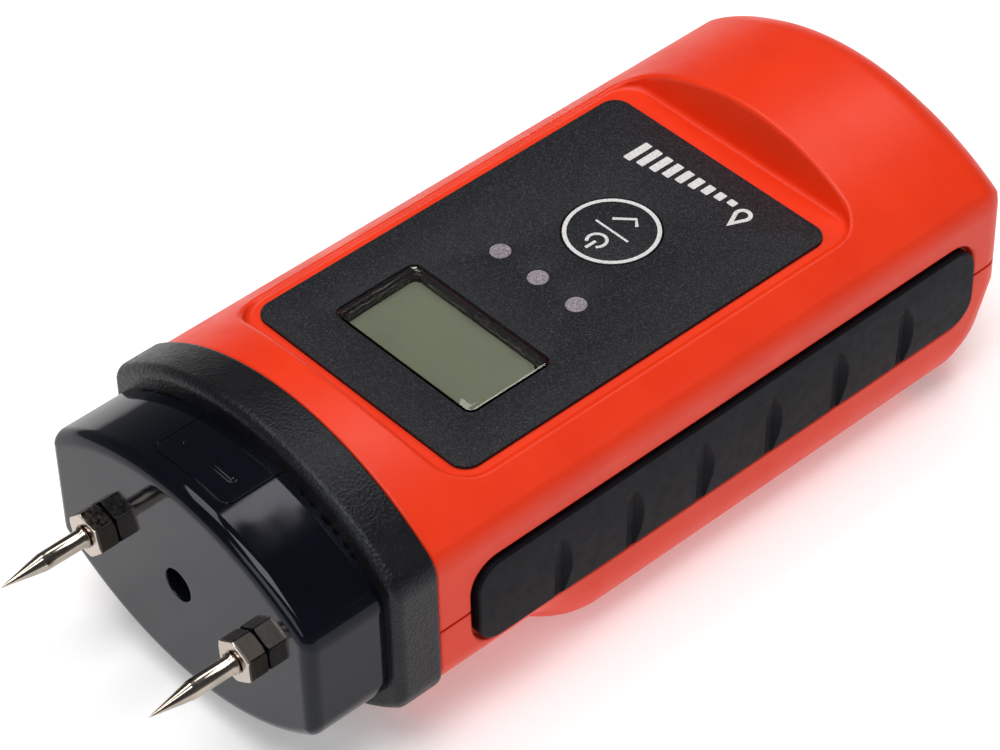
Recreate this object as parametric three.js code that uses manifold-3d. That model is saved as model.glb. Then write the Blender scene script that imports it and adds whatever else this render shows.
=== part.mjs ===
// Pocket pin-type moisture meter for wood and floor coverings.
// Units are millimetres and +Z is up. The meter lies on its belly with its display facing +Z, and its two
// electrode pins point along -Y. Everything is placed in the nose frame: x = 0 is the plane of symmetry,
// y = 0 lies just behind the nose's front face and z = 0 is the height of the pins. The exported group then
// moves that frame so that the origin is at the centre of the meter's length and width, on its resting plane.
import * as THREE from "three";
import { mergeVertices } from "three/addons/utils/BufferGeometryUtils.js";
import { ConvexGeometry } from "three/addons/geometries/ConvexGeometry.js";
import Module from "manifold-3d";

const wasm = await Module();
wasm.setup();

// ---- Driving dimensions ----
const PIN = { x: 11.63, r: 1.0, tipY: -13.2, coneLength: 5.0, endY: 7.4, flatR: 0.08, flat: 0.1 };
const NUT = { acrossFlats: 4.5, frontY: -2.9, backY: -0.45, chamfer: 0.35, bore: 1.2 };
const NUT_TURN = { left: 104, right: 152 };
const NOSE = { halfWidth: 20.0, shoulder: 6.4, peak: 13.6, frontY: -0.35, backY: 9.0, fillet: 1.5 };
const NOSE_WALL = 2.35;
const RIDGE = { halfWidth: 3.75, frontY: 4.45, backY: 5.15, height: 0.2, corner: 0.3 };
const SPIGOT = { halfWidth: 16.4, shoulder: 3.2, peak: 9.4, endY: 18.8, wall: 1.6, gap: 0.3 };
const FLANGE = { grow: 1.1, frontY: 17.0 };
const INSERT = { r: 2.9, frontY: 2.3, backY: 8.8, boreEndY: 7.7, gap: 0.3, bossR: 4.2 };
const SENSOR = { holeR: 1.9, bossR: 3.1, bossEndY: 8.0 };
const COLLAR = { halfWidth: 21.7, shoulder: 8.1, peak: 16.4, frontY: 9.15, backY: 14.6, fillet: 0.8 };
const BODY = { halfWidth: 21.4, shoulder: 7.78, peak: 16.04, frontY: 14.7, endY: 95.5, edge: 1.2, wall: 2.0 };
const BELLY = { bottom: -17.0, corner: 8.0, startY: 27.6, fullY: 37.1 };
const TAIL = { topRound: 4.5, sideRound: 3.0, bottomRound: 7.5 };
const PARTING = { z: -1.35, gap: 0.2 };
const POCKET = { halfWidth: 17.35, frontY: 21.6, backY: 76.9, floor: 10.5, corner: 3.5, skin: 1.5 };
const POCKET_DRAFT = { frontDeg: 63, backDeg: 80, side: 0.3, height: 7.0 };
const LABEL = { halfWidth: 16.0, frontY: 23.1, backY: 73.7, thickness: 0.44, corner: 2.0 };
const WINDOW = { halfWidth: 10.25, frontY: 29.1, backY: 39.9, corner: 0.8, gap: 0.15 };
const PANE = { inset: 0.1, bottom: 9.85, below: 0.06 };
const BEZEL = { margin: 1.8, corner: 1.2, rim: 0.15, opening: 0.65, top: 9.8 };
const LCD = { inset: 0.75, bottom: 6.95, top: 8.9 };
const CONTACT = { ys: [31.2, 37.8], halfLength: 9.0, halfWidth: 0.9, top: 6.9 };
const LIGHTS = { y: 47.56, pitch: 5.68, r: 1.15, gap: 0.1, bottom: 8.7, below: 0.02 };
const BUTTON = { y: 57.93, r: 5.25, gap: 0.12, flange: 0.9, flangeZ: [8.35, 8.85], foot: 2.0, sides: 24 };
const SWITCH = { half: 3.0, top: 7.6, corner: 0.5, wellR: 1.9, wellZ: 6.7 };
const PLUNGER = { r: 1.6, z: [7.2, 8.2] };
const GRIP = { frontY: 19.4, backY: 90.0, top: 3.7, bottom: -6.6, corner: 3.0, bevel: 0.5 };
const GRIP_X = { face: 22.0, seat: 20.45 };
const GRIP_RECESS = { seat: 20.2, margin: 0.45 };
const NOTCH = { firstY: 30.0, pitch: 9.8, count: 6, steep: 0.8, slope: 1.8, depth: 0.9, top: 0.5 };
const BOARD = { halfWidth: 15.3, frontY: 23.7, backY: 76.4, bottom: 4.0, thickness: 1.6, corner: 1.5 };
// Parts mounted on the board stand this far off it.
const STANDOFF = 0.05;
const LED = { baseR: 1.5, base: 0.7, r: 1.3, domeZ: 7.5, tipR: 0.8, tipZ: 8.3, top: 8.55 };
const CHIPS = {
  microcontroller: { x: -5, y: 69, half: 3.5, top: 7.1 },
  amplifier_chip: { x: 7, y: 69, half: 2.0, top: 7.0 },
};
const BATTERY = { halfWidth: 13.25, frontY: 42.0, backY: 88.4, bottom: -14.85, height: 17.5, corner: 1.8 };
const TERMINAL = { x: 6.35, length: 2.1, smallR: 2.85, largeR: 4.0, boreR: 2.9 };
const SNAP = { halfWidth: 12.4, halfHeight: 6.0, corner: 3.0, gap: 0.2, depth: 4.0, socketR: [3.2, 4.4] };
const CRADLE = { x: [15.8, 16.8], y: [40, 82], top: -6 };
const BULKHEAD = { y: [33.6, 34.8], top: -4 };
const DOOR = { halfWidth: 14.4, frontY: 38.0, headY: 84.0, headHalfWidth: 15.4, top: -9.5, gap: 0.2 };
const RAIL_Y = [41, 82];
const RAIL = { inner: 13.5, footZ: [-15.4, -14.2], headZ: [-14.4, -13.7], play: 0.1 };
const TONGUE = { halfWidth: 9.0, length: 1.0, z: [-15.8, -15.1], side: 0.3, above: 0.6, below: 0.15 };
const PULL = { halfWidth: 7.0, firstY: 72.0, pitch: 2.0, width: 0.8, count: 5, top: -16.7 };
const CASE_SCREW = { head: 1.7, dome: 0.8, height: 1.4, shank: 0.95, top: -8.05, tipZ: [4.6, 5.1] };
const HEAD_SEAT = -8.0;
const CASE_SCREW_AT = { front: { x: 15.0, y: 21.2, pillar: 2.1 }, back: { x: 18.0, y: 87.2, pillar: 2.8 } };
const BOSS = { caseR: 2.1, boardR: 2.0, root: 0.5, caseBoreTop: 5.4, boardBoreTop: 0.4 };
const BOARD_SCREW = { head: 1.4, height: 1.1, shank: 0.7, tipZ: [8.2, 8.4] };
const BOARD_SCREW_AT = { x: 13.3, ys: [25.6, 73.4] };
const SCREW_PLAY = { case: 0.25, head: 0.2, board: 0.2 };
const WIRE_R = 0.6;
const ROUND = 16;
// Drawing a crown inwards lowers its shoulder by this share of the inset.
const SHOULDER_SHARE = 0.6;
// Cutting blocks reach this far to the sides, above and below, and this far back.
const BEYOND = { side: 30, back: 100 };

// ---- Solids: closed three.js geometries joined and cut with manifold-3d ----
function solid(geometry) {
  const bare = geometry.index ? geometry.toNonIndexed() : geometry.clone();
  for (const name of Object.keys(bare.attributes)) {
    if (name !== "position") bare.deleteAttribute(name);
  }
  const merged = mergeVertices(bare, 1e-4);
  return new wasm.Manifold(
    new wasm.Mesh({
      numProp: 3,
      vertProperties: merged.attributes.position.array,
      triVerts: new Uint32Array(merged.index.array),
    }),
  );
}

function geometryOf(body) {
  const mesh = body.getMesh();
  const geometry = new THREE.BufferGeometry();
  geometry.setAttribute("position", new THREE.BufferAttribute(new Float32Array(mesh.vertProperties), 3));
  geometry.setIndex(new THREE.BufferAttribute(new Uint32Array(mesh.triVerts), 1));
  geometry.computeVertexNormals();
  return geometry;
}

const join = (first, ...rest) => rest.reduce((sum, next) => sum.add(next), first);
const cut = (first, ...rest) => rest.reduce((sum, next) => sum.subtract(next), first);

function box(x0, x1, y0, y1, z0, z1) {
  const geometry = new THREE.BoxGeometry(x1 - x0, y1 - y0, z1 - z0);
  return solid(geometry.translate((x0 + x1) / 2, (y0 + y1) / 2, (z0 + z1) / 2));
}

// A solid of revolution about the line through (x, z) along Y; profile points are [radius, y].
function turnedY(profile, x, z, sides = ROUND) {
  const points = profile.map(([r, y]) => new THREE.Vector2(r, y));
  return solid(new THREE.LatheGeometry(points, sides).translate(x, 0, z));
}

// A solid of revolution about the vertical line through (x, y); profile points are [radius, z].
function turnedZ(profile, x, y, sides = ROUND) {
  const points = profile.map(([r, z]) => new THREE.Vector2(r, z));
  return solid(new THREE.LatheGeometry(points, sides).rotateX(Math.PI / 2).translate(x, y, 0));
}

const rodY = (r, x, z, y0, y1, sides = ROUND) => turnedY([[0, y0], [r, y0], [r, y1], [0, y1]], x, z, sides);
const rodZ = (r, x, y, z0, z1, sides = ROUND) => turnedZ([[0, z0], [r, z0], [r, z1], [0, z1]], x, y, sides);

// Points of a rounded rectangle, the same number at every corner.
function roundedRect(u0, u1, v0, v1, r, steps = 3) {
  const centres = [[u1 - r, v0 + r, -90], [u1 - r, v1 - r, 0], [u0 + r, v1 - r, 90], [u0 + r, v0 + r, 180]];
  return centres.flatMap(([cu, cv, start]) =>
    Array.from({ length: steps + 1 }, (_, i) => {
      const angle = THREE.MathUtils.degToRad(start + (90 * i) / steps);
      return [cu + r * Math.cos(angle), cv + r * Math.sin(angle)];
    }),
  );
}

// A closed skin over rings of points that all have the same count, with a flat fan over each end.
function loft(rings) {
  const count = rings[0].length;
  const triangles = [];
  const centre = (ring) => ring.reduce((sum, p) => sum.add(p), new THREE.Vector3()).divideScalar(count);
  for (let k = 0; k + 1 < rings.length; k++) {
    for (let i = 0; i < count; i++) {
      const j = (i + 1) % count;
      triangles.push(rings[k][i], rings[k][j], rings[k + 1][j]);
      triangles.push(rings[k][i], rings[k + 1][j], rings[k + 1][i]);
    }
  }
  const first = rings[0];
  const last = rings[rings.length - 1];
  const firstCentre = centre(first);
  const lastCentre = centre(last);
  for (let i = 0; i < count; i++) {
    const j = (i + 1) % count;
    triangles.push(firstCentre, first[j], first[i]);
    triangles.push(lastCentre, last[i], last[j]);
  }
  const body = solid(new THREE.BufferGeometry().setFromPoints(triangles));
  if (body.volume() > 0) return body;
  return solid(new THREE.BufferGeometry().setFromPoints(triangles.reverse()));
}

// A prism over a rounded rectangle: in plan between two heights, or across the meter between two x values.
function slabZ(x0, x1, y0, y1, z0, z1, r, steps = 3) {
  const ring = (z) => roundedRect(x0, x1, y0, y1, r, steps).map(([x, y]) => new THREE.Vector3(x, y, z));
  return loft([ring(z0), ring(z1)]);
}

function slabX(y0, y1, z0, z1, x0, x1, r, steps = 3) {
  const ring = (x) => roundedRect(y0, y1, z0, z1, r, steps).map(([y, z]) => new THREE.Vector3(x, y, z));
  return loft([ring(x0), ring(x1)]);
}

// A round rod bent along a smooth curve through the given points.
function bentRod(points, r, sides = 6, steps = 9) {
  const circle = new THREE.Shape().absarc(0, 0, r, 0, 2 * Math.PI);
  const path = new THREE.CatmullRomCurve3(points.map((p) => new THREE.Vector3(...p)));
  return solid(new THREE.ExtrudeGeometry(circle, { steps, curveSegments: sides / 2, extrudePath: path }));
}

// ---- Cross-sections across the meter ----
// The right half of a crown: the rounded shoulder, then the arc up to the peak on the centre line.
function crownHalf(halfWidth, shoulder, peak, edge, arcSteps = 8, edgeSteps = 2) {
  const rise = peak - shoulder;
  const radius = (halfWidth * halfWidth + rise * rise) / (2 * rise);
  const centreZ = peak - radius;
  const edgeX = halfWidth - edge;
  const edgeZ = centreZ + Math.sqrt((radius - edge) ** 2 - edgeX ** 2);
  const joint = Math.atan2(edgeZ - centreZ, edgeX);
  const points = [];
  for (let i = 0; i <= edgeSteps; i++) {
    const angle = (joint * i) / edgeSteps;
    points.push([edgeX + edge * Math.cos(angle), edgeZ + edge * Math.sin(angle)]);
  }
  for (let i = 1; i <= arcSteps; i++) {
    const angle = joint + ((Math.PI / 2 - joint) * i) / arcSteps;
    points.push([radius * Math.cos(angle), centreZ + radius * Math.sin(angle)]);
  }
  return points;
}

// The right half of the belly, from its side down to the centre line, with as many points as crownHalf gives.
function bellyHalf(halfWidth, bottom, corner, count) {
  const flatSteps = 2;
  const arcSteps = count - 1 - flatSteps;
  const points = [];
  for (let i = 0; i <= arcSteps; i++) {
    const angle = (-Math.PI / 2) * (i / arcSteps);
    points.push([halfWidth - corner + corner * Math.cos(angle), bottom + corner + corner * Math.sin(angle)]);
  }
  for (let i = 1; i <= flatSteps; i++) points.push([(halfWidth - corner) * (1 - i / flatSteps), bottom]);
  return points;
}

// A whole ring at y: the crown above, and below it the mirrored crown blended towards the belly.
function ringAt(y, crown, belly = null, bellyShare = 0) {
  const under = crown.map(([x, z], i) => {
    if (!belly) return [x, -z];
    return [x + (belly[i][0] - x) * bellyShare, -z + (belly[i][1] + z) * bellyShare];
  });
  const right = [...under.slice(0, -1).reverse(), ...crown];
  const left = [...crown.slice(0, -1).reverse(), ...under].map(([x, z]) => [-x, z]);
  return [...right, ...left].map(([x, z]) => new THREE.Vector3(x, y, z));
}

function lensSolid(halfWidth, shoulder, peak, y0, y1, edge = BODY.edge) {
  const crown = crownHalf(halfWidth, shoulder, peak, edge);
  return loft([ringAt(y0, crown), ringAt(y1, crown)]);
}

// A lens whose front edge is rounded by stepping the outline inwards towards its front face.
function roundedLens(size, frontY, backY, fillet, steps = 3) {
  const rings = [];
  for (let i = 0; i <= steps; i++) {
    const angle = ((Math.PI / 2) * i) / steps;
    const inset = fillet * (1 - Math.sin(angle));
    const y = frontY + fillet * (1 - Math.cos(angle));
    const shoulder = size.shoulder - inset * SHOULDER_SHARE;
    rings.push(ringAt(y, crownHalf(size.halfWidth - inset, shoulder, size.peak - inset, BODY.edge)));
  }
  rings.push(ringAt(backY, crownHalf(size.halfWidth, size.shoulder, size.peak, BODY.edge)));
  return loft(rings);
}

// The whole outer form of the case, drawn inwards by inset: 0 is the outside, BODY.wall the inside.
function caseForm(inset) {
  const shoulder = BODY.shoulder - inset * SHOULDER_SHARE;
  const crown = crownHalf(BODY.halfWidth - inset, shoulder, BODY.peak - inset, BODY.edge);
  const belly = bellyHalf(BODY.halfWidth - inset, BELLY.bottom + inset, BELLY.corner - inset, crown.length);
  const rings = [ringAt(BODY.frontY + inset, crown, belly, 0)];
  const growSteps = 5;
  for (let i = 0; i <= growSteps; i++) {
    const part = i / growSteps;
    const y = BELLY.startY + (BELLY.fullY - BELLY.startY) * part + inset;
    rings.push(ringAt(y, crown, belly, 1 - (1 - part) ** 2));
  }
  rings.push(ringAt(BODY.endY - inset, crown, belly, 1));
  const half = BODY.halfWidth - inset;
  const end = BODY.endY - inset;
  const round = TAIL.sideRound - inset * 0.5;
  const plan = slabZ(-half - 1, half + 1, 0, end, -BEYOND.side, BEYOND.side, round);
  return loft(rings).intersect(plan).intersect(tailSide(inset, half + 1, end));
}

// The side view of the case: a long block with its two tail corners rounded to different radii.
function tailSide(inset, halfWidth, end) {
  const top = BODY.peak - inset;
  const bottom = BELLY.bottom + inset;
  const arc = (cy, cz, r, from) =>
    Array.from({ length: 7 }, (_, i) => {
      const angle = THREE.MathUtils.degToRad(from + 15 * i);
      return [cy + r * Math.cos(angle), cz + r * Math.sin(angle)];
    });
  const low = TAIL.bottomRound - inset;
  const high = TAIL.topRound - inset;
  const outline = [
    [0, bottom],
    ...arc(end - low, bottom + low, low, -90),
    ...arc(end - high, top - high, high, 0),
    [0, top],
  ];
  const ring = (x) => outline.map(([y, z]) => new THREE.Vector3(x, y, z));
  return loft([ring(-halfWidth), ring(halfWidth)]);
}

const outerCase = caseForm(0);
const innerCase = caseForm(BODY.wall);
const partingTop = PARTING.z + PARTING.gap / 2;
const partingBottom = PARTING.z - PARTING.gap / 2;
const labelTop = POCKET.floor + LABEL.thickness;
const ceiling = POCKET.floor - POCKET.skin;
const boardTop = BOARD.bottom + BOARD.thickness;
const onBoard = boardTop + STANDOFF;
const lightXs = [-LIGHTS.pitch, 0, LIGHTS.pitch];
const sides = [["left", -1], ["right", 1]];
const caseScrews = [CASE_SCREW_AT.front, CASE_SCREW_AT.back].flatMap(({ x, y, pillar }) => [
  { x: -x, y, pillar },
  { x, y, pillar },
]);
const boardScrews = BOARD_SCREW_AT.ys.flatMap((y) => [
  { x: -BOARD_SCREW_AT.x, y },
  { x: BOARD_SCREW_AT.x, y },
]);

// ---- Shared cut-outs ----
// The drafted recess in the crown that holds the label; grow widens it for the skin around it.
function pocketForm(floor, grow) {
  const lean = (degrees) => POCKET_DRAFT.height / Math.tan(THREE.MathUtils.degToRad(degrees));
  const ring = (z, front, back, side) =>
    roundedRect(
      -POCKET.halfWidth - side - grow,
      POCKET.halfWidth + side + grow,
      POCKET.frontY - front - grow,
      POCKET.backY + back + grow,
      POCKET.corner,
    ).map(([x, y]) => new THREE.Vector3(x, y, z));
  const { frontDeg, backDeg, side, height } = POCKET_DRAFT;
  return loft([ring(floor, 0, 0, 0), ring(floor + height, lean(frontDeg), lean(backDeg), side)]);
}

function gripRecess(side) {
  const { seat, margin } = GRIP_RECESS;
  const outer = BODY.halfWidth + 2;
  const [x0, x1] = side > 0 ? [seat, outer] : [-outer, -seat];
  return slabX(
    GRIP.frontY - margin,
    GRIP.backY + margin,
    GRIP.bottom - margin,
    GRIP.top + margin,
    x0,
    x1,
    GRIP.corner + margin,
  );
}

// The hole that the nose's spigot passes through.
function spigotHole(endY) {
  const { halfWidth, shoulder, peak, gap } = SPIGOT;
  return lensSolid(halfWidth + gap, shoulder + gap, peak + gap, 0, endY);
}

function windowSlab(inset, z0, z1, corner = WINDOW.corner) {
  const { halfWidth, frontY, backY } = WINDOW;
  return slabZ(-halfWidth + inset, halfWidth - inset, frontY + inset, backY - inset, z0, z1, corner);
}

const recesses = sides.map(([, side]) => gripRecess(side));
const caseOpening = spigotHole(BODY.frontY + BODY.wall + 1);

// ---- Case ----
function upperShell() {
  const cavity = cut(innerCase, pocketForm(ceiling, POCKET.skin));
  const upperHalf = box(-BEYOND.side, BEYOND.side, 0, BEYOND.back, partingTop, BEYOND.side);
  const skin = cut(outerCase.intersect(upperHalf), cavity, pocketForm(POCKET.floor, 0));
  const root = ceiling + BOSS.root;
  const bosses = caseScrews.map(({ x, y }) => rodZ(BOSS.caseR, x, y, partingTop, root).intersect(outerCase));
  const standoffs = boardScrews.map(({ x, y }) => rodZ(BOSS.boardR, x, y, onBoard, root));
  const caseBore = CASE_SCREW.shank + SCREW_PLAY.case;
  const caseBores = caseScrews.map(({ x, y }) => rodZ(caseBore, x, y, partingTop - 1, BOSS.caseBoreTop));
  const boardBore = BOARD_SCREW.shank + SCREW_PLAY.board;
  const boardBoreTop = ceiling - BOSS.boardBoreTop;
  const boardBores = boardScrews.map(({ x, y }) => rodZ(boardBore, x, y, boardTop - 1, boardBoreTop));
  const lightHoles = lightXs.map((x) => rodZ(LIGHTS.r + 2 * LIGHTS.gap, x, LIGHTS.y, ceiling - 1, BODY.peak));
  const buttonR = BUTTON.r + 2 * BUTTON.gap;
  return cut(
    join(skin, ...bosses, ...standoffs),
    ...caseBores,
    ...boardBores,
    windowSlab(-WINDOW.gap, 0, BODY.peak),
    ...lightHoles,
    rodZ(buttonR, 0, BUTTON.y, ceiling - 1, BODY.peak, BUTTON.sides),
    caseOpening,
    ...recesses,
  );
}

function lowerShell() {
  const lowerHalf = box(-BEYOND.side, BEYOND.side, 0, BEYOND.back, -BEYOND.side, partingBottom);
  const inside = outerCase.intersect(lowerHalf);
  const skin = cut(inside, innerCase);
  const pillars = caseScrews.map(({ x, y, pillar }) =>
    rodZ(pillar, x, y, -BEYOND.side, partingBottom).intersect(inside),
  );
  const cradles = sides.map(([, side]) => {
    const [x0, x1] = side > 0 ? CRADLE.x : [-CRADLE.x[1], -CRADLE.x[0]];
    return box(x0, x1, ...CRADLE.y, BELLY.bottom, CRADLE.top).intersect(inside);
  });
  const bulkheadHalf = CRADLE.x[0];
  const bulkhead = box(-bulkheadHalf, bulkheadHalf, ...BULKHEAD.y, BELLY.bottom, BULKHEAD.top);
  const headR = CASE_SCREW.head + SCREW_PLAY.head;
  const headWells = caseScrews.map(({ x, y }) => rodZ(headR, x, y, -BEYOND.side, HEAD_SEAT));
  const shankR = CASE_SCREW.shank + SCREW_PLAY.case;
  const shankHoles = caseScrews.map(({ x, y }) => rodZ(shankR, x, y, -BEYOND.side, 0));
  return cut(
    join(skin, ...pillars, ...cradles, bulkhead.intersect(inside)),
    ...headWells,
    ...shankHoles,
    doorOpening(),
    caseOpening,
    ...recesses,
  );
}

function doorOpening() {
  const { halfWidth, frontY, headY, headHalfWidth, top, gap } = DOOR;
  const runTop = BELLY.bottom + BODY.wall + 1;
  const run = box(-halfWidth - gap, halfWidth + gap, frontY - gap, headY + 1, -BEYOND.side, runTop);
  const headHalf = headHalfWidth + gap;
  const head = box(-headHalf, headHalf, headY - gap, BEYOND.back, -BEYOND.side, top + gap);
  const slotHalf = TONGUE.halfWidth + TONGUE.side;
  const slotFront = frontY - TONGUE.length - TONGUE.side;
  const slotBottom = TONGUE.z[0] - TONGUE.below;
  const slot = box(-slotHalf, slotHalf, slotFront, frontY + 0.5, slotBottom, TONGUE.z[1] + TONGUE.above);
  return join(run, head, slot);
}

// The door closes the battery bay: a plate with a wider head that wraps up over the tail's lower corner.
// Two rails run inside the case along its long edges, and a tongue slips into a slot at its front end.
function batteryDoor() {
  const { halfWidth, frontY, headY, headHalfWidth, top } = DOOR;
  const plateTop = BELLY.bottom + BODY.wall + 0.1;
  const reach = join(
    box(-halfWidth, halfWidth, frontY, headY + 0.5, -BEYOND.side, plateTop),
    box(-headHalfWidth, headHalfWidth, headY, BEYOND.back, -BEYOND.side, top),
  );
  const plate = cut(outerCase, innerCase).intersect(reach);
  const rails = sides.map(([, side]) => {
    const across = (a, b) => (side > 0 ? [a, b] : [-b, -a]);
    const foot = box(...across(RAIL.inner, halfWidth), ...RAIL_Y, ...RAIL.footZ);
    const head = box(...across(RAIL.inner, headHalfWidth - RAIL.play), ...RAIL_Y, ...RAIL.headZ);
    return join(foot, head);
  });
  const { length, z } = TONGUE;
  const tongue = box(-TONGUE.halfWidth, TONGUE.halfWidth, frontY - length, frontY + length, ...z);
  const grooves = Array.from({ length: PULL.count }, (_, i) => {
    const y = PULL.firstY + PULL.pitch * i;
    return box(-PULL.halfWidth, PULL.halfWidth, y, y + PULL.width, BELLY.bottom - 0.5, PULL.top);
  });
  return cut(join(plate, ...rails, tongue), ...grooves);
}

function collar() {
  return cut(roundedLens(COLLAR, COLLAR.frontY, COLLAR.backY, COLLAR.fillet), spigotHole(BEYOND.side));
}

// The nose carries the electrodes and the temperature sensor, and its flanged spigot is caught in the case.
function noseBlock() {
  const { backY } = NOSE;
  const wallY = NOSE.frontY + NOSE_WALL;
  const { halfWidth, shoulder, peak, endY, wall } = SPIGOT;
  const { grow, frontY } = FLANGE;
  const front = roundedLens(NOSE, NOSE.frontY, backY, NOSE.fillet);
  const spigot = lensSolid(halfWidth, shoulder, peak, backY - 1, endY);
  const flange = lensSolid(halfWidth + grow, shoulder + grow, peak + grow, frontY, endY);
  const hollow = cut(
    lensSolid(halfWidth - wall, shoulder - wall * 0.5, peak - wall, wallY, endY + 1),
    ...sides.map(([, side]) => rodY(INSERT.bossR, side * PIN.x, 0, 0, backY)),
    rodY(SENSOR.bossR, 0, 0, 0, SENSOR.bossEndY),
  );
  const ridge = slabZ(
    -RIDGE.halfWidth,
    RIDGE.halfWidth,
    RIDGE.frontY,
    RIDGE.backY,
    NOSE.peak - 1,
    NOSE.peak + RIDGE.height,
    RIDGE.corner,
  );
  const insertR = INSERT.r + INSERT.gap;
  const insertPockets = sides.map(([, side]) => rodY(insertR, side * PIN.x, 0, wallY, BEYOND.side));
  const pinHoles = sides.map(([, side]) => rodY(PIN.r + 0.35, side * PIN.x, 0, -5, 5));
  const port = rodY(SENSOR.holeR, 0, 0, -5, BEYOND.side);
  return cut(join(front, spigot, flange, ridge), hollow, ...insertPockets, ...pinHoles, port);
}

// A rubber pad in the case's side recess, with a row of slanted notches along its lower half.
function grip(side) {
  const { frontY, backY, bottom, top, corner, bevel } = GRIP;
  const seat = side * GRIP_X.seat;
  const face = side * GRIP_X.face;
  const ring = (x, inset) =>
    roundedRect(frontY + inset, backY - inset, bottom + inset, top - inset, corner - inset).map(
      ([y, z]) => new THREE.Vector3(x, y, z),
    );
  const pad = loft([ring(seat, 0), ring(face - side * bevel, 0), ring(face, bevel)]);
  const starts = Array.from({ length: NOTCH.count }, (_, i) => NOTCH.firstY + NOTCH.pitch * i);
  return cut(pad, ...starts.map((y) => gripNotch(side, y)));
}

function gripNotch(side, y) {
  const low = GRIP.bottom - 1;
  const x = (out) => side * (GRIP_X.face + out);
  const end = y + NOTCH.steep + NOTCH.slope;
  const corners = [
    [x(0.1), y, low],
    [x(-NOTCH.depth), y + NOTCH.steep, low],
    [x(0.1), end, low],
    [x(0.1), y, NOTCH.top],
    [x(0.1), end, NOTCH.top],
  ];
  return solid(new ConvexGeometry(corners.map((p) => new THREE.Vector3(...p))));
}

// ---- Electrodes ----
function electrodePin(side) {
  const { x, r, tipY, coneLength, endY, flatR, flat } = PIN;
  const profile = [[0, tipY], [flatR, tipY + flat], [r, tipY + coneLength], [r, endY], [0, endY]];
  return turnedY(profile, side * x, 0);
}

function hexNut(side, turn) {
  const { acrossFlats, frontY, backY, chamfer, bore } = NUT;
  const corner = acrossFlats / Math.sqrt(3);
  const prism = new THREE.CylinderGeometry(corner, corner, backY - frontY, 6);
  // A cylinder's first corner lies on +Z, and turning about Y carries it to the wanted angle above +X.
  prism.rotateY(THREE.MathUtils.degToRad(90 - turn)).translate(side * PIN.x, (frontY + backY) / 2, 0);
  const inscribed = acrossFlats / 2;
  const cone = [
    [0, frontY - 0.01],
    [inscribed - 0.05, frontY - 0.01],
    [corner + 0.1, frontY + chamfer],
    [corner + 0.1, backY + 0.01],
    [0, backY + 0.01],
  ];
  return cut(solid(prism).intersect(turnedY(cone, side * PIN.x, 0, 24)), rodY(bore, side * PIN.x, 0, -10, 5));
}

function brassInsert(side) {
  const { r, frontY, backY, boreEndY } = INSERT;
  return cut(rodY(r, side * PIN.x, 0, frontY, backY), rodY(PIN.r + 0.2, side * PIN.x, 0, 0, boreEndY));
}

function electrodeWire(side) {
  const path = [
    [PIN.x, 9.1, 0],
    [11.3, 12, 0.1],
    [10.6, 16, 0.7],
    [9.8, 20.5, 1.6],
    [9.2, 24.2, 2.7],
    [9.1, 25.6, 3.4],
  ];
  return bentRod(path.map(([x, y, z]) => [side * x, y, z]), WIRE_R);
}

// A glass bead behind the port in the nose, with its lead running back to the board.
function temperatureSensor() {
  const profile = [[0, 1.6], [0.7, 1.75], [1.2, 2.3], [1.35, 3.0], [1.35, 6.4], [0.6, 7.0], [0, 7.0]];
  const path = [
    [0, 6.6, 0],
    [0, 10, 0],
    [0.3, 14, 0.4],
    [0.6, 19, 1.4],
    [0.7, 24.0, 2.7],
    [0.7, 25.6, 3.4],
  ];
  return join(turnedY(profile, 0, 0), bentRod(path, WIRE_R));
}

// ---- Face and display ----
function faceLabel() {
  const { halfWidth, frontY, backY, corner } = LABEL;
  const film = slabZ(-halfWidth, halfWidth, frontY, backY, POCKET.floor + 0.01, labelTop, corner);
  const lights = lightXs.map((x) => rodZ(LIGHTS.r + LIGHTS.gap, x, LIGHTS.y, 0, BODY.peak));
  const button = rodZ(BUTTON.r + BUTTON.gap, 0, BUTTON.y, 0, BODY.peak, BUTTON.sides);
  return cut(film, windowSlab(0, 0, BODY.peak), ...lights, button);
}

// The bezel sits on the board under the face and rises into the window opening as a thin dark rim.
function displayBezel() {
  const { margin, corner, rim, opening, top } = BEZEL;
  const base = windowSlab(-margin, onBoard, ceiling - 0.1, corner);
  return cut(join(base, windowSlab(rim, ceiling - 0.5, top)), windowSlab(opening, 0, BODY.peak));
}

const displayWindow = () => windowSlab(PANE.inset, PANE.bottom, labelTop - PANE.below);
const lcdPanel = () => windowSlab(LCD.inset, LCD.bottom, LCD.top);

function contactStrip(y) {
  const { halfLength, halfWidth, top } = CONTACT;
  return box(-halfLength, halfLength, y - halfWidth, y + halfWidth, onBoard, top);
}

const lightWindow = (x) => rodZ(LIGHTS.r, x, LIGHTS.y, LIGHTS.bottom, labelTop - LIGHTS.below);

function led(x) {
  const { baseR, base, r, domeZ, tipR, tipZ, top } = LED;
  const foot = [[0, onBoard], [baseR, onBoard], [baseR, onBoard + base], [r, onBoard + base]];
  return turnedZ([...foot, [r, domeZ], [tipR, tipZ], [0, top]], x, LIGHTS.y);
}

// ---- Button ----
// The key's flange keeps it under the face, and a low foot on its underside meets the switch.
function powerButton() {
  const { y, r, flange, flangeZ, foot } = BUTTON;
  const [low, high] = flangeZ;
  const under = [[0, low - 0.1], [foot, low - 0.1], [foot, low], [r + flange, low], [r + flange, high]];
  return turnedZ([...under, [r, high], [r, labelTop], [0, labelTop]], 0, y, BUTTON.sides);
}

const switchPlunger = () => rodZ(PLUNGER.r, 0, BUTTON.y, ...PLUNGER.z);

function switchBody() {
  const { half, top, corner, wellR, wellZ } = SWITCH;
  const body = slabZ(-half, half, BUTTON.y - half, BUTTON.y + half, onBoard, top, corner, 2);
  return cut(body, rodZ(wellR, 0, BUTTON.y, wellZ, BODY.peak));
}

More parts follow.
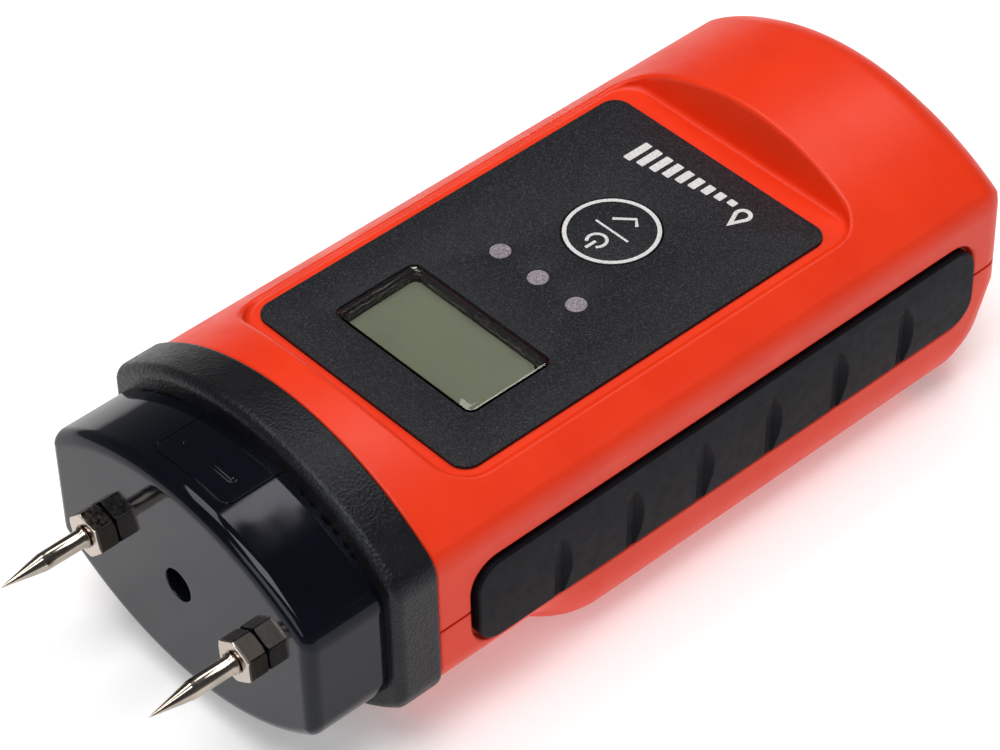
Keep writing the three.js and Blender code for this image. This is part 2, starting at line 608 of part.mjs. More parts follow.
// ---- Electronics ----
function circuitBoard() {
  const { halfWidth, frontY, backY, bottom, corner } = BOARD;
  const board = slabZ(-halfWidth, halfWidth, frontY, backY, bottom, boardTop, corner);
  const holes = boardScrews.map(({ x, y }) => rodZ(BOARD_SCREW.shank + SCREW_PLAY.board, x, y, 0, BODY.peak));
  return cut(board, ...holes);
}

const chip = ({ x, y, half, top }) => slabZ(x - half, x + half, y - half, y + half, onBoard, top, 0.3, 1);

function caseScrew({ x, y }) {
  const { head, shank, top, dome, height, tipZ } = CASE_SCREW;
  const under = [[0, top - height], [head * 0.7, top - height], [head, top - dome], [head, top]];
  return turnedZ([...under, [shank, top], [shank, tipZ[0]], [0, tipZ[1]]], x, y);
}

function boardScrew({ x, y }) {
  const { head, height, shank, tipZ } = BOARD_SCREW;
  const seat = BOARD.bottom - STANDOFF;
  const under = [[0, seat - height], [head, seat - height], [head, seat], [shank, seat]];
  return turnedZ([...under, [shank, tipZ[0]], [0, tipZ[1]]], x, y, 14);
}

// ---- Battery ----
const batteryMiddle = BATTERY.bottom + BATTERY.height / 2;

// A prism with rounded corners that runs along the meter between two y values.
function slabY(halfWidth, z0, z1, y0, y1, corner) {
  const outline = roundedRect(-halfWidth, halfWidth, z0, z1, corner);
  const ring = (y) => outline.map(([x, z]) => new THREE.Vector3(x, y, z));
  return loft([ring(y0), ring(y1)]);
}

function battery() {
  const { halfWidth, frontY, backY, bottom, height, corner } = BATTERY;
  const { x, length, smallR, largeR, boreR } = TERMINAL;
  const small = rodY(smallR, x, batteryMiddle, frontY - length, frontY + 1);
  const large = cut(
    rodY(largeR, -x, batteryMiddle, frontY - length, frontY + 1, 6),
    rodY(boreR, -x, batteryMiddle, 0, frontY),
  );
  return join(slabY(halfWidth, bottom, bottom + height, frontY, backY, corner), small, large);
}

function batterySnap() {
  const { halfWidth, halfHeight, corner, gap, depth, socketR } = SNAP;
  const back = BATTERY.frontY - gap;
  const front = back - depth;
  const plate = slabY(halfWidth, batteryMiddle - halfHeight, batteryMiddle + halfHeight, front, back, corner);
  const socket = (x, r) => rodY(r, x, batteryMiddle, back - TERMINAL.length - gap, back + 1);
  return cut(plate, socket(TERMINAL.x, socketR[0]), socket(-TERMINAL.x, socketR[1]));
}

function snapWire(side) {
  const front = BATTERY.frontY - 4.7;
  const path = [
    [4, front, -5.5],
    [4.4, front - 1.6, -4.2],
    [5.2, front - 2.3, -1.2],
    [5.8, front - 1.8, 1.8],
    [6, front - 1.2, 3.4],
  ];
  return bentRod(path.map(([x, y, z]) => [side * x, y, z]), WIRE_R);
}

// ---- Materials ----
const material = (color, roughness, metalness = 0) =>
  new THREE.MeshStandardMaterial({ color, roughness, metalness });
const redPlastic = material(0xee3f1c, 0.5);
const blackRubber = material(0x1b1b1d, 0.8);
const collarBlack = material(0x26262a, 0.6);
const glossBlack = material(0x17171c, 0.15);
const labelBlack = material(0x26272c, 0.6);
const nickel = material(0xc9c1b8, 0.25, 1);
const steel = material(0xb5b6ba, 0.35, 1);
const brass = material(0xc99a4a, 0.35, 1);
const clearWindow = material(0xb9bdb4, 0.05);
const lcdGlass = material(0x7b8070, 0.2);
const bezelBlack = material(0x1c1a22, 0.5);
const rubberGrey = material(0x5a5d62, 0.9);
const lightWindowPlastic = material(0x8a8087, 0.4);
const boardGreen = material(0x1d6b3a, 0.5);
const chipBlack = material(0x202022, 0.6);
const ledClear = material(0xd8d6ce, 0.2);
const batteryJacket = material(0x3b4a63, 0.4);
const wireRed = material(0xb3201a, 0.6);
const wireBlack = material(0x1a1a1a, 0.6);

// ---- Assembly ----
const meter = new THREE.Group();

function add(name, body, finish, parent = meter) {
  const mesh = new THREE.Mesh(geometryOf(body), finish);
  mesh.name = name;
  parent.add(mesh);
}

add("nose_block", noseBlock(), glossBlack);
add("collar", collar(), collarBlack);
add("upper_shell", upperShell(), redPlastic);
add("lower_shell", lowerShell(), redPlastic);
add("battery_door", batteryDoor(), redPlastic);
add("temperature_sensor", temperatureSensor(), chipBlack);
for (const [name, side] of sides) {
  add(`electrode_pin_${name}`, electrodePin(side), nickel);
  add(`hex_nut_${name}`, hexNut(side, NUT_TURN[name]), nickel);
  add(`brass_insert_${name}`, brassInsert(side), brass);
  add(`electrode_wire_${name}`, electrodeWire(side), wireBlack);
  add(`grip_${name}`, grip(side), blackRubber);
}
add("face_label", faceLabel(), labelBlack);
add("display_window", displayWindow(), clearWindow);
add("display_bezel", displayBezel(), bezelBlack);
add("lcd_panel", lcdPanel(), lcdGlass);
add("contact_strip_front", contactStrip(CONTACT.ys[0]), rubberGrey);
add("contact_strip_back", contactStrip(CONTACT.ys[1]), rubberGrey);
lightXs.forEach((x, i) => {
  add(`light_window_${i + 1}`, lightWindow(x), lightWindowPlastic);
  add(`led_${i + 1}`, led(x), ledClear);
});
add("power_button", powerButton(), labelBlack);
add("switch_plunger", switchPlunger(), chipBlack);
add("switch_body", switchBody(), steel);
add("circuit_board", circuitBoard(), boardGreen);
for (const [name, place] of Object.entries(CHIPS)) add(name, chip(place), chipBlack);
caseScrews.forEach((place, i) => add(`case_screw_${i + 1}`, caseScrew(place), steel));
boardScrews.forEach((place, i) => add(`board_screw_${i + 1}`, boardScrew(place), steel));
add("battery", battery(), batteryJacket);
add("battery_snap", batterySnap(), wireBlack);
add("snap_wire_red", snapWire(1), wireRed);
add("snap_wire_black", snapWire(-1), wireBlack);

// The origin goes to the middle of the overall length, pin tips to tail, on the plane the belly rests on.
meter.position.set(0, -(PIN.tipY + BODY.endY) / 2, -BELLY.bottom);

export default meter;
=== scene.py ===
"""The looks of a pin-type moisture meter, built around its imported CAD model.

Shapes are worked out in millimetres: x runs across the meter, y from the pin tips (-) to the tail (+), and
heights count from the axis of the pins. piece() turns them into Blender's metres in the model's own frame.
Large moulded parts are signed distance functions, negative inside, skinned on a grid of uneven spacing.
"""

import math
from functools import partial

import bmesh
import bpy
import numpy as np
from mathutils import Matrix, Vector
from numpy import hypot, maximum, minimum


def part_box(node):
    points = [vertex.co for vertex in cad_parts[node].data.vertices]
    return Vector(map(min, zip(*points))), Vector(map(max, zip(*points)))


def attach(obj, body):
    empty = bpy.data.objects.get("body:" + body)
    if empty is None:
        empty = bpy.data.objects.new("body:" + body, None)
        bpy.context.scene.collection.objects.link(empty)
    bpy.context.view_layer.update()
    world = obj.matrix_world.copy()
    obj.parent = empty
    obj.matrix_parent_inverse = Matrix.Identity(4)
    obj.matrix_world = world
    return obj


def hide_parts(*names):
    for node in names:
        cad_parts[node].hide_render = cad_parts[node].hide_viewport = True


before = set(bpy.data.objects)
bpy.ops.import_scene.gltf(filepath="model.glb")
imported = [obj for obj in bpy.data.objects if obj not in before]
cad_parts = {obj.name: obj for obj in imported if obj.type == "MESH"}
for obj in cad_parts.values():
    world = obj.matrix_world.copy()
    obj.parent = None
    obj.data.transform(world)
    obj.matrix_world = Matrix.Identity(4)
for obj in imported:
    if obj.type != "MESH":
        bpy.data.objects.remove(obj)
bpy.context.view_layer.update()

MM = 0.001
AXIS = sum(corner.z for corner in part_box("electrode_pin_right")) / 2 / MM
LIFT = np.array([0.0, 0.0, AXIS])


def span(node):
    """A node's lowest and highest corner in millimetres, heights from the axis of the pins."""
    low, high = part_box(node)
    return np.array(low) / MM - LIFT, np.array(high) / MM - LIFT


# ---- Driving dimensions, millimetres ----
CASE_LOW, CASE_HIGH = span("upper_shell")
HALF, PEAK = CASE_HIGH[0], CASE_HIGH[2]
FRONT, END = CASE_LOW[1], CASE_HIGH[1]
BOTTOM = span("lower_shell")[0][2]
CASE = {"shoulder": 7.78, "edge": 1.2, "wall": 2.0, "lip": 0.35}
# The shares of an inset that come off the case's shoulder and off its tail's rounding.
INSET_SHARE = {"shoulder": 0.6, "rounding": 0.5}
BELLY = {"start": FRONT + 12.9, "growth": 9.5, "corner": 8.0}
TAIL_ROUND = {"radii": [7.5, 3.0, 3.0, 4.5], "heights": [-12, -4, 6, 13]}
PARTING = {"z": -1.35, "gap": 0.2, "edge": 0.12}

LABEL_LOW, LABEL_HIGH = span("face_label")
POCKET = {"floor": LABEL_LOW[2], "side": 1.35, "front": 1.5, "back": 3.2, "skin": 1.5}
POCKET_ROUND = {"corner": 3.5, "foot": 0.5, "mouth": 0.45}
DRAFT = {"front": math.radians(63), "back": math.radians(80)}
LABEL = {"corner": 2.0, "edge": 0.07}
WINDOW_LOW, WINDOW_HIGH = span("display_window")
WINDOW = {"corner": 0.8, "edge": 0.04, "opening": 0.32}
BEZEL_LOW, BEZEL_HIGH = span("display_bezel")
BEZEL = {"flange": BEZEL_HIGH[0] - WINDOW_HIGH[0], "sight": 0.55, "gap": 0.02, "play": 0.04, "edge": 0.04}
BEZEL_Z = {"flange": 8.84, "ledge": WINDOW_LOW[2] - 0.05, "top": LABEL_LOW[2] - 0.02}
BUTTON_LOW, BUTTON_HIGH = span("power_button")
BUTTON = {"y": (BUTTON_LOW[1] + BUTTON_HIGH[1]) / 2, "r": 5.25, "film_gap": 0.12, "case_gap": 0.25}
BUTTON_FOOT = {"r": 2.0, "height": 0.1, "flange": 0.6}

NOSE_LOW, NOSE_HIGH = span("nose_block")
NOSE = {"half": NOSE_HIGH[0], "shoulder": 6.4, "peak": -NOSE_LOW[2], "fillet": 1.5, "lap": 0.15, "root": 1.0}
# The panel line and the ridge are only above this height.
NOSE_TOP = 5.0
PANEL = {"half": 5.7, "front": NOSE_LOW[1] + 2.45, "corner": 1.2}
PANEL_LINE = {"width": 0.09, "depth": 0.12, "edge": 0.04}
RIDGE = {"half": 3.75, "front": NOSE_LOW[1] + 4.8, "back": NOSE_LOW[1] + 5.5, "corner": 0.33, "height": 0.2}
RIDGE_EDGE = {"crest": 0.18, "foot": 0.12}
SPIGOT = {"half": 16.4, "shoulder": 3.2, "peak": 9.4, "gap": 0.3}
PORT = {"r": 1.9, "depth": 12.0, "edge": 0.12}
COLLAR_LOW, COLLAR_HIGH = span("collar")
COLLAR = {"shoulder": 8.1, "fillet": 1.2}

GRIP_LOW, GRIP_HIGH = span("grip_right")
GRIP = {"corner": 3.0, "edge": 0.25, "crest": -1.0, "barrel": 80.0}
RECESS = {"seat": 20.2, "margin": 0.45, "edge": 0.35}
SLOT = {"first": GRIP_LOW[1] + 9.9, "pitch": 9.8, "count": 6, "top": 1.15, "middle": -2.7, "half": 3.85}
SLOT_DEPTH = {"ends": 0.18, "scoop": 0.6, "flat": 0.87}
# How steeply a slot's walls fall: at its front, along its top, and at its back.
SLOT_WALL = {"near": 6.0, "top": 3.0, "far": 1.0}

DOOR = {"half": 14.4, "front": FRONT + 23.3, "head": FRONT + 69.3, "gap": 0.2, "edge": 0.2}
DOOR_HEAD_HALF = 15.4
DOOR_TOP = {"plate": -14.0, "head": -9.5}
RAIL = {"inner": 13.5, "outer": 15.3, "under": -14.4, "top": -13.7, "edge": 0.1}
RAIL_ENDS = {"front": FRONT + 26.3, "back": FRONT + 67.3}
TONGUE = {"half": 9.0, "length": 1.0, "bottom": -15.8, "top": -15.1, "corner": 0.2, "play": 0.3}
PULL = {"half": 7.0, "first": FRONT + 57.3, "pitch": 2.0, "width": 0.8, "count": 5, "depth": 0.4}
PULL_EDGE = {"corner": 0.3, "rim": 0.15}
CRADLE = {"inner": 15.8, "outer": 16.8, "front": FRONT + 25.3, "back": FRONT + 67.3, "top": -6.0}
BULKHEAD = {"front": FRONT + 18.9, "back": FRONT + 20.1, "top": -4.0}
BAY_EDGE = 0.2

SCREWS = [sum(span(f"case_screw_{i}")) / 2 for i in range(1, 5)]
SCREW = {"head": 1.7, "height": 1.4, "dome": 0.5, "shank": 0.95, "neck": 1.0}
CROSS = {"half": 0.26, "reach": 1.0, "depth": 0.9, "edge": 0.05}
WELL = {"r": SCREW["head"] + 0.2, "wall": 0.9, "top": -8.0, "edge": 0.2}
TERMINAL = {"x": 6.35, "length": 2.1, "stud": 2.85, "hexagon": 4.0, "bore": 2.9}
BATTERY = {"corner": 1.8, "margin": 0.8, "inset": 0.3, "plate": 1.2}

NUT = {"flats": 4.5, "edge": 0.07, "chamfer": math.radians(30), "flat_rim": 0.12, "bore": 1.08}
COUNTERSINK = {"r": 1.35, "fall": 0.9, "edge": 0.05}
NUT_TURN = {"left": 104, "right": 152}
PIN = {"cone": 5.0, "ring": 1.2}

LIGHTS = [sum(span(f"light_window_{i}")) / 2 for i in (1, 2, 3)]
LIGHT_R = (span("light_window_1")[1][0] - span("light_window_1")[0][0]) / 2
INK = {"below": 0.01, "above": 0.02}
MARK = {"end": 8.6, "margin": 3.25, "height": 3.4, "drop": 1.05, "bars": 9, "pitch": 1.6, "bar": 1.0}


# ---- Signed distance functions ----
def smax(a, b, r):
    """The larger of two distances, with the edge between them rounded to radius r."""
    return minimum(-r, maximum(a, b)) + hypot(maximum(r + a, 0), maximum(r + b, 0))


def smin(a, b, r):
    return -smax(-a, -b, r)


def crown(x, z, half, shoulder, peak):
    rise = peak - shoulder
    radius = (half**2 + rise**2) / (2 * rise)
    return hypot(x, z - (peak - radius)) - radius


def lens(x, z, half, shoulder, peak, edge=CASE["edge"]):
    both = maximum(crown(x, z, half, shoulder, peak), crown(x, -z, half, shoulder, peak))
    return smax(both, np.abs(x) - half, edge)


def rounded(u, v, low, high, r):
    """A rounded rectangle between the corners low and high."""
    du = np.abs(u - (low[0] + high[0]) / 2) - (high[0] - low[0]) / 2 + r
    dv = np.abs(v - (low[1] + high[1]) / 2) - (high[1] - low[1]) / 2 + r
    return hypot(maximum(du, 0), maximum(dv, 0)) + minimum(maximum(du, dv), 0) - r


def case_form(x, y, z, inset=0.0):
    """The whole closed case, drawn inwards by inset."""
    half, peak = HALF - inset, PEAK - inset
    shoulder = CASE["shoulder"] - INSET_SHARE["shoulder"] * inset
    side = np.abs(x) - half
    above = smax(crown(x, z, half, shoulder, peak), side, CASE["edge"])
    lens_under = smax(crown(x, -z, half, shoulder, peak), side, CASE["edge"])
    belly_under = smax(BOTTOM + inset - z, side, BELLY["corner"] - inset)
    grown = np.clip((y - BELLY["start"] - inset) / BELLY["growth"], 0, 1)
    share = 1 - (1 - grown) ** 2
    section = maximum(above, lens_under * (1 - share) + belly_under * share)
    radius = np.interp(z, TAIL_ROUND["heights"], TAIL_ROUND["radii"]) - INSET_SHARE["rounding"] * inset
    tail = smax(section, y - (END - inset), radius)
    return smax(tail, FRONT + inset - y, CASE["lip"])


def pocket(x, y, z, skin=0.0):
    """The drafted recess that holds the label, widened by skin for the wall around it."""
    rise = z - POCKET["floor"]
    front = LABEL_LOW[1] - POCKET["front"] - rise / math.tan(DRAFT["front"])
    back = LABEL_HIGH[1] + POCKET["back"] + rise / math.tan(DRAFT["back"])
    side = np.abs(x) - (LABEL_HIGH[0] + POCKET["side"]) - skin
    ahead = (front - y) * math.sin(DRAFT["front"]) - skin
    behind = (y - back) * math.sin(DRAFT["back"]) - skin
    corner = POCKET_ROUND["corner"]
    walls = maximum(smax(ahead, side, corner), smax(behind, side, corner))
    return smax(walls, -rise - skin, POCKET_ROUND["foot"])


def cavity(x, y, z):
    return maximum(case_form(x, y, z, CASE["wall"]), -pocket(x, y, z, POCKET["skin"]))


def grip_recess(x, y, z):
    margin = RECESS["margin"]
    outline = rounded(y, z, GRIP_LOW[1:] - margin, GRIP_HIGH[1:] + margin, GRIP["corner"] + margin)
    return maximum(outline, RECESS["seat"] - np.abs(x))


def spigot(x, z, gap=0.0):
    """The section of the nose's spigot, or with a gap that of the hole it goes through."""
    return lens(x, z, SPIGOT["half"] + gap, SPIGOT["shoulder"] + gap, SPIGOT["peak"] + gap)


def spigot_opening(x, y, z):
    return maximum(spigot(x, z, SPIGOT["gap"]), y - FRONT - CASE["wall"] - 1)


def pane_outline(x, y, grow):
    """The display window's outline, grown by a margin on every side."""
    corner = max(WINDOW["corner"] + grow, WINDOW["corner"] / 2)
    return rounded(x, y, WINDOW_LOW[:2] - grow, WINDOW_HIGH[:2] + grow, corner)


def display_bezel(x, y, z):
    """A flanged frame that holds the window and rises round it almost to the film."""
    flange = maximum(pane_outline(x, y, BEZEL["flange"]), z - BEZEL_Z["flange"])
    outside = minimum(flange, pane_outline(x, y, WINDOW["opening"] - BEZEL["gap"]))
    seat = maximum(pane_outline(x, y, BEZEL["play"]), BEZEL_Z["ledge"] - z)
    hole = minimum(pane_outline(x, y, -BEZEL["sight"]), seat)
    ring = smax(outside, -hole, BEZEL["edge"])
    return smax(ring, maximum(BEZEL_LOW[2] - z, z - BEZEL_Z["top"]), BEZEL["edge"])


def upper_shell(x, y, z):
    shape = smax(case_form(x, y, z), -pocket(x, y, z), POCKET_ROUND["mouth"])
    shape = maximum(shape, -cavity(x, y, z))
    window = pane_outline(x, y, WINDOW["opening"])
    button = hypot(x, y - BUTTON["y"]) - BUTTON["r"] - BUTTON["case_gap"]
    shape = maximum(shape, -minimum(minimum(window, button), spigot_opening(x, y, z)))
    shape = smax(shape, PARTING["z"] + PARTING["gap"] / 2 - z, PARTING["edge"])
    return smax(shape, -grip_recess(x, y, z), RECESS["edge"])


def door_outline(x, y, z, gap):
    """The T-shaped region of the battery door: a plate, and a wider head that wraps up the tail."""
    run = maximum(np.abs(x) - DOOR["half"] - gap, DOOR["front"] - gap - y)
    run = maximum(run, z - DOOR_TOP["plate"])
    head = maximum(np.abs(x) - DOOR_HEAD_HALF - gap, DOOR["head"] - gap - y)
    head = maximum(head, z - DOOR_TOP["head"] - gap)
    return minimum(run, head)


def screw_wells(x, y, radius):
    return np.min([hypot(x - at[0], y - at[1]) - radius for at in SCREWS], axis=0)


def battery_bay(x, y, z):
    """The walls beside the battery and the bulkhead in front of it."""
    walls = rounded(np.abs(x), z, (CRADLE["inner"], BOTTOM), (CRADLE["outer"], CRADLE["top"]), BAY_EDGE)
    walls = maximum(walls, maximum(CRADLE["front"] - y, y - CRADLE["back"]))
    bulkhead = rounded(y, z, (BULKHEAD["front"], BOTTOM), (BULKHEAD["back"], BULKHEAD["top"]), BAY_EDGE)
    return minimum(walls, maximum(bulkhead, np.abs(x) - CRADLE["inner"]))


def tongue(x, y, z, play=0.0):
    """The door's front tongue, or with play the slot that it enters."""
    low = (DOOR["front"] - TONGUE["length"] - play, TONGUE["bottom"] - play / 2)
    high = (DOOR["front"] + TONGUE["length"], TONGUE["top"] + play)
    return maximum(rounded(y, z, low, high, TONGUE["corner"]), np.abs(x) - TONGUE["half"] - play)


def lower_shell(x, y, z):
    outside = case_form(x, y, z)
    pillars = screw_wells(x, y, WELL["r"] + WELL["wall"])
    inner = minimum(pillars, battery_bay(x, y, z))
    hollow = maximum(case_form(x, y, z, CASE["wall"]), -inner)
    shape = maximum(outside, -hollow)
    well = maximum(screw_wells(x, y, WELL["r"]), z - WELL["top"])
    shape = smax(shape, -well, WELL["edge"])
    shape = smax(shape, -door_outline(x, y, z, DOOR["gap"]), DOOR["edge"])
    shape = maximum(shape, -minimum(spigot_opening(x, y, z), tongue(x, y, z, TONGUE["play"])))
    shape = smax(shape, z - PARTING["z"] + PARTING["gap"] / 2, PARTING["edge"])
    return smax(shape, -grip_recess(x, y, z), RECESS["edge"])


def battery_door(x, y, z):
    plate = maximum(case_form(x, y, z), -case_form(x, y, z, CASE["wall"]))
    plate = smax(plate, door_outline(x, y, z, 0), DOOR["edge"])
    starts = [PULL["first"] + PULL["pitch"] * i for i in range(PULL["count"])]
    depth, width = PULL["depth"], PULL["width"]
    corner = PULL_EDGE["corner"]
    grooves = [rounded(y, z, (at, BOTTOM - depth), (at + width, BOTTOM + depth), corner) for at in starts]
    cut = maximum(np.min(grooves, axis=0), np.abs(x) - PULL["half"])
    plate = smax(plate, -cut, PULL_EDGE["rim"])
    inner, top, edge = RAIL["inner"], RAIL["top"], RAIL["edge"]
    foot = rounded(np.abs(x), z, (inner, BOTTOM + 1), (DOOR["half"], top), edge)
    flange = rounded(np.abs(x), z, (inner, RAIL["under"]), (RAIL["outer"], top), edge)
    rails = maximum(minimum(foot, flange), maximum(RAIL_ENDS["front"] - y, y - RAIL_ENDS["back"]))
    return minimum(minimum(plate, rails), tongue(x, y, z))


def collar(x, y, z):
    band = lens(x, z, COLLAR_HIGH[0], COLLAR["shoulder"], COLLAR_HIGH[2])
    shape = smax(band, COLLAR_LOW[1] - y, COLLAR["fillet"])
    shape = smax(shape, y - COLLAR_HIGH[1], CASE["lip"])
    return maximum(shape, -spigot(x, z, SPIGOT["gap"]))


def nose_block(x, y, z):
    band = lens(x, z, NOSE["half"], NOSE["shoulder"], NOSE["peak"])
    shape = smax(band, NOSE_LOW[1] - y, NOSE["fillet"])
    half = RIDGE["half"]
    ridge = rounded(x, y, (-half, RIDGE["front"]), (half, RIDGE["back"]), RIDGE["corner"])
    ridge = smax(ridge, band - RIDGE["height"], RIDGE_EDGE["crest"])
    ridged = smin(shape, maximum(ridge, NOSE_TOP - z), RIDGE_EDGE["foot"])
    shape = np.where(z > 0, ridged, shape)
    panel = np.abs(rounded(x, y, (-PANEL["half"], PANEL["front"]), (PANEL["half"], FRONT), PANEL["corner"]))
    line = maximum(panel - PANEL_LINE["width"] / 2, -band - PANEL_LINE["depth"])
    shape = smax(shape, -maximum(line, NOSE_TOP - z), PANEL_LINE["edge"])
    shape = maximum(shape, y - COLLAR_LOW[1] - NOSE["lap"])
    tube = maximum(spigot(x, z), maximum(y - NOSE_HIGH[1], COLLAR_LOW[1] - NOSE["root"] - y))
    port = maximum(hypot(x, z) - PORT["r"], y - NOSE_LOW[1] - PORT["depth"])
    return smax(minimum(shape, tube), -port, PORT["edge"])


def slot_depth(y, z):
    """How deep the slots go: a flat floor behind a steep near wall, then a sloping far wall."""
    share = 1 - ((z - SLOT["middle"]) / SLOT["half"]) ** 2
    floor = SLOT_DEPTH["ends"] + SLOT_DEPTH["scoop"] * np.clip(share, 0, 1)
    end = SLOT_DEPTH["flat"] + 2 * SLOT_WALL["far"] * floor
    count = np.clip(np.floor((y - SLOT["first"]) / SLOT["pitch"]), 0, SLOT["count"] - 1)
    along = y - SLOT["first"] - SLOT["pitch"] * count
    depth = minimum(minimum(along * SLOT_WALL["near"], (end - along) / SLOT_WALL["far"]), floor)
    return np.clip(minimum(depth, (SLOT["top"] - z) * SLOT_WALL["top"]), 0, None)


def grip(x, y, z):
    """A pad with a gently barrelled face, and a row of scooped slots across its lower part.

    The slotted face leans up to 45 degrees, and the square root brings its distances back to true ones.
    """
    face = GRIP_HIGH[0] - (z - GRIP["crest"]) ** 2 / (2 * GRIP["barrel"])
    pad = rounded(y, z, GRIP_LOW[1:], GRIP_HIGH[1:], GRIP["corner"])
    pad = smax(pad, x - face, GRIP["edge"])
    pad = maximum(pad, GRIP_LOW[0] - x)
    return maximum(pad, (x - face + slot_depth(y, z)) * math.sqrt(0.5))


# ---- Skinning ----
def ticks(low, high, base, places, fine=0.16, growth=0.3):
    """Grid lines from low to high, closely spaced round each of the places."""
    lines = [low]
    while lines[-1] < high:
        nearest = min(abs(lines[-1] - place) for place in places)
        lines.append(lines[-1] + min(base, fine + growth * max(nearest - 2.5 * fine, 0)))
    return np.array(lines)


def mirrored(lines):
    return np.concatenate([-lines[::-1], lines])


FLATTEST = 0.05
LONGEST_MOVE = 0.4


def slope(shape, points, step=0.015):
    ahead = [shape(*(points + offset).T) for offset in step * np.eye(3)]
    behind = [shape(*(points - offset).T) for offset in step * np.eye(3)]
    return (np.array(ahead) - np.array(behind)).T / (2 * step)


def skin(shape, xs, ys, zs):
    """Surface nets: the zero surface of shape over the grid, as points, quads and normals."""
    grid = np.meshgrid(xs, ys, zs, indexing="ij")
    value = shape(*grid)
    inside = value < 0
    cells = tuple(n - 1 for n in value.shape)
    total = np.zeros((3,) + cells)
    count = np.zeros(cells)
    crossings = []
    for axis in range(3):
        first, second = [i for i in range(3) if i != axis]
        lead = tuple(slice(0, -1) if i == axis else slice(None) for i in range(3))
        lag = tuple(slice(1, None) if i == axis else slice(None) for i in range(3))
        crossed = inside[lead] != inside[lag]
        drop = np.where(crossed, value[lead] - value[lag], 1.0)
        part = np.where(crossed, value[lead] / drop, 0.0)
        spot = [g[lead] + part * (g[lag] - g[lead]) if i == axis else g[lead] for i, g in enumerate(grid)]
        crossings.append((axis, first, second, crossed, inside[lead]))
        for u in (0, 1):
            for v in (0, 1):
                window = [slice(None)] * 3
                window[first] = slice(u, u + cells[first])
                window[second] = slice(v, v + cells[second])
                hit = crossed[tuple(window)]
                count += hit
                for i in range(3):
                    total[i] += np.where(hit, spot[i][tuple(window)], 0.0)
    used = count > 0
    index = np.full(cells, -1)
    index[used] = np.arange(used.sum())
    points = (total[:, used] / count[used]).T
    quads = [net_quads(index, cells, *crossing) for crossing in crossings]
    for _ in range(3):
        lean = slope(shape, points)
        size = maximum((lean**2).sum(1), FLATTEST)
        move = np.clip(shape(*points.T) / size, -LONGEST_MOVE, LONGEST_MOVE)
        points = points - lean * move[:, None]
    lean = slope(shape, points)
    normals = lean / maximum(np.linalg.norm(lean, axis=1), 1e-9)[:, None]
    return points, np.concatenate(quads), normals


def net_quads(index, cells, axis, first, second, crossed, starts_inside):
    """A quad round each crossed grid edge, through the points of the four cells that share the edge."""
    at = np.argwhere(crossed)
    for side in (first, second):
        at = at[(at[:, side] > 0) & (at[:, side] < cells[side])]
    ring = []
    for u, v in ((-1, -1), (0, -1), (0, 0), (-1, 0)):
        cell = at.copy()
        cell[:, first] += u
        cell[:, second] += v
        ring.append(index[tuple(cell.T)])
    ring = np.stack(ring, axis=1)
    forward = starts_inside[tuple(at.T)] != (axis == 1)
    return np.where(forward[:, None], ring, ring[:, ::-1])


def shown(name, data):
    """A new object in the scene."""
    obj = bpy.data.objects.new(name, data)
    bpy.context.scene.collection.objects.link(obj)
    return obj


def piece(name, points, faces, finish, body="case", stands_for=(), normals=None, crease=35):
    """A shown piece from points in millimetres, riding on a body, with one of the finishes."""
    mesh = bpy.data.meshes.new(name)
    placed = (np.asarray(points) + LIFT) * MM
    mesh.from_pydata(placed.tolist(), [], [tuple(int(i) for i in face) for face in faces])
    mesh.polygons.foreach_set("use_smooth", [True] * len(mesh.polygons))
    if normals is None:
        mesh.set_sharp_from_angle(angle=math.radians(crease))
    else:
        mesh.normals_split_custom_set_from_vertices(normals.tolist())
    mesh.materials.append(FINISHES[finish])
    obj = shown(name, mesh)
    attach(obj, body)
    if stands_for:
        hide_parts(*stands_for)


def mould(name, shape, grid, finish, node, body="case"):
    """A piece skinned from a distance function over a grid, standing for one node."""
    points, faces, normals = skin(shape, *grid)
    piece(name, points, faces, finish, body, [node], normals)


# ---- Procedural finishes ----
def linear(*srgb):
    """A screen colour of 0 to 255, as the linear values that shaders use."""
    parts = [c / 255 for c in srgb]
    return tuple(c / 12.92 if c <= 0.04045 else ((c + 0.055) / 1.055) ** 2.4 for c in parts) + (1.0,)


def set_inputs(node, values):
    for socket, value in values.items():
        node.inputs[socket.replace("_", " ")].default_value = value


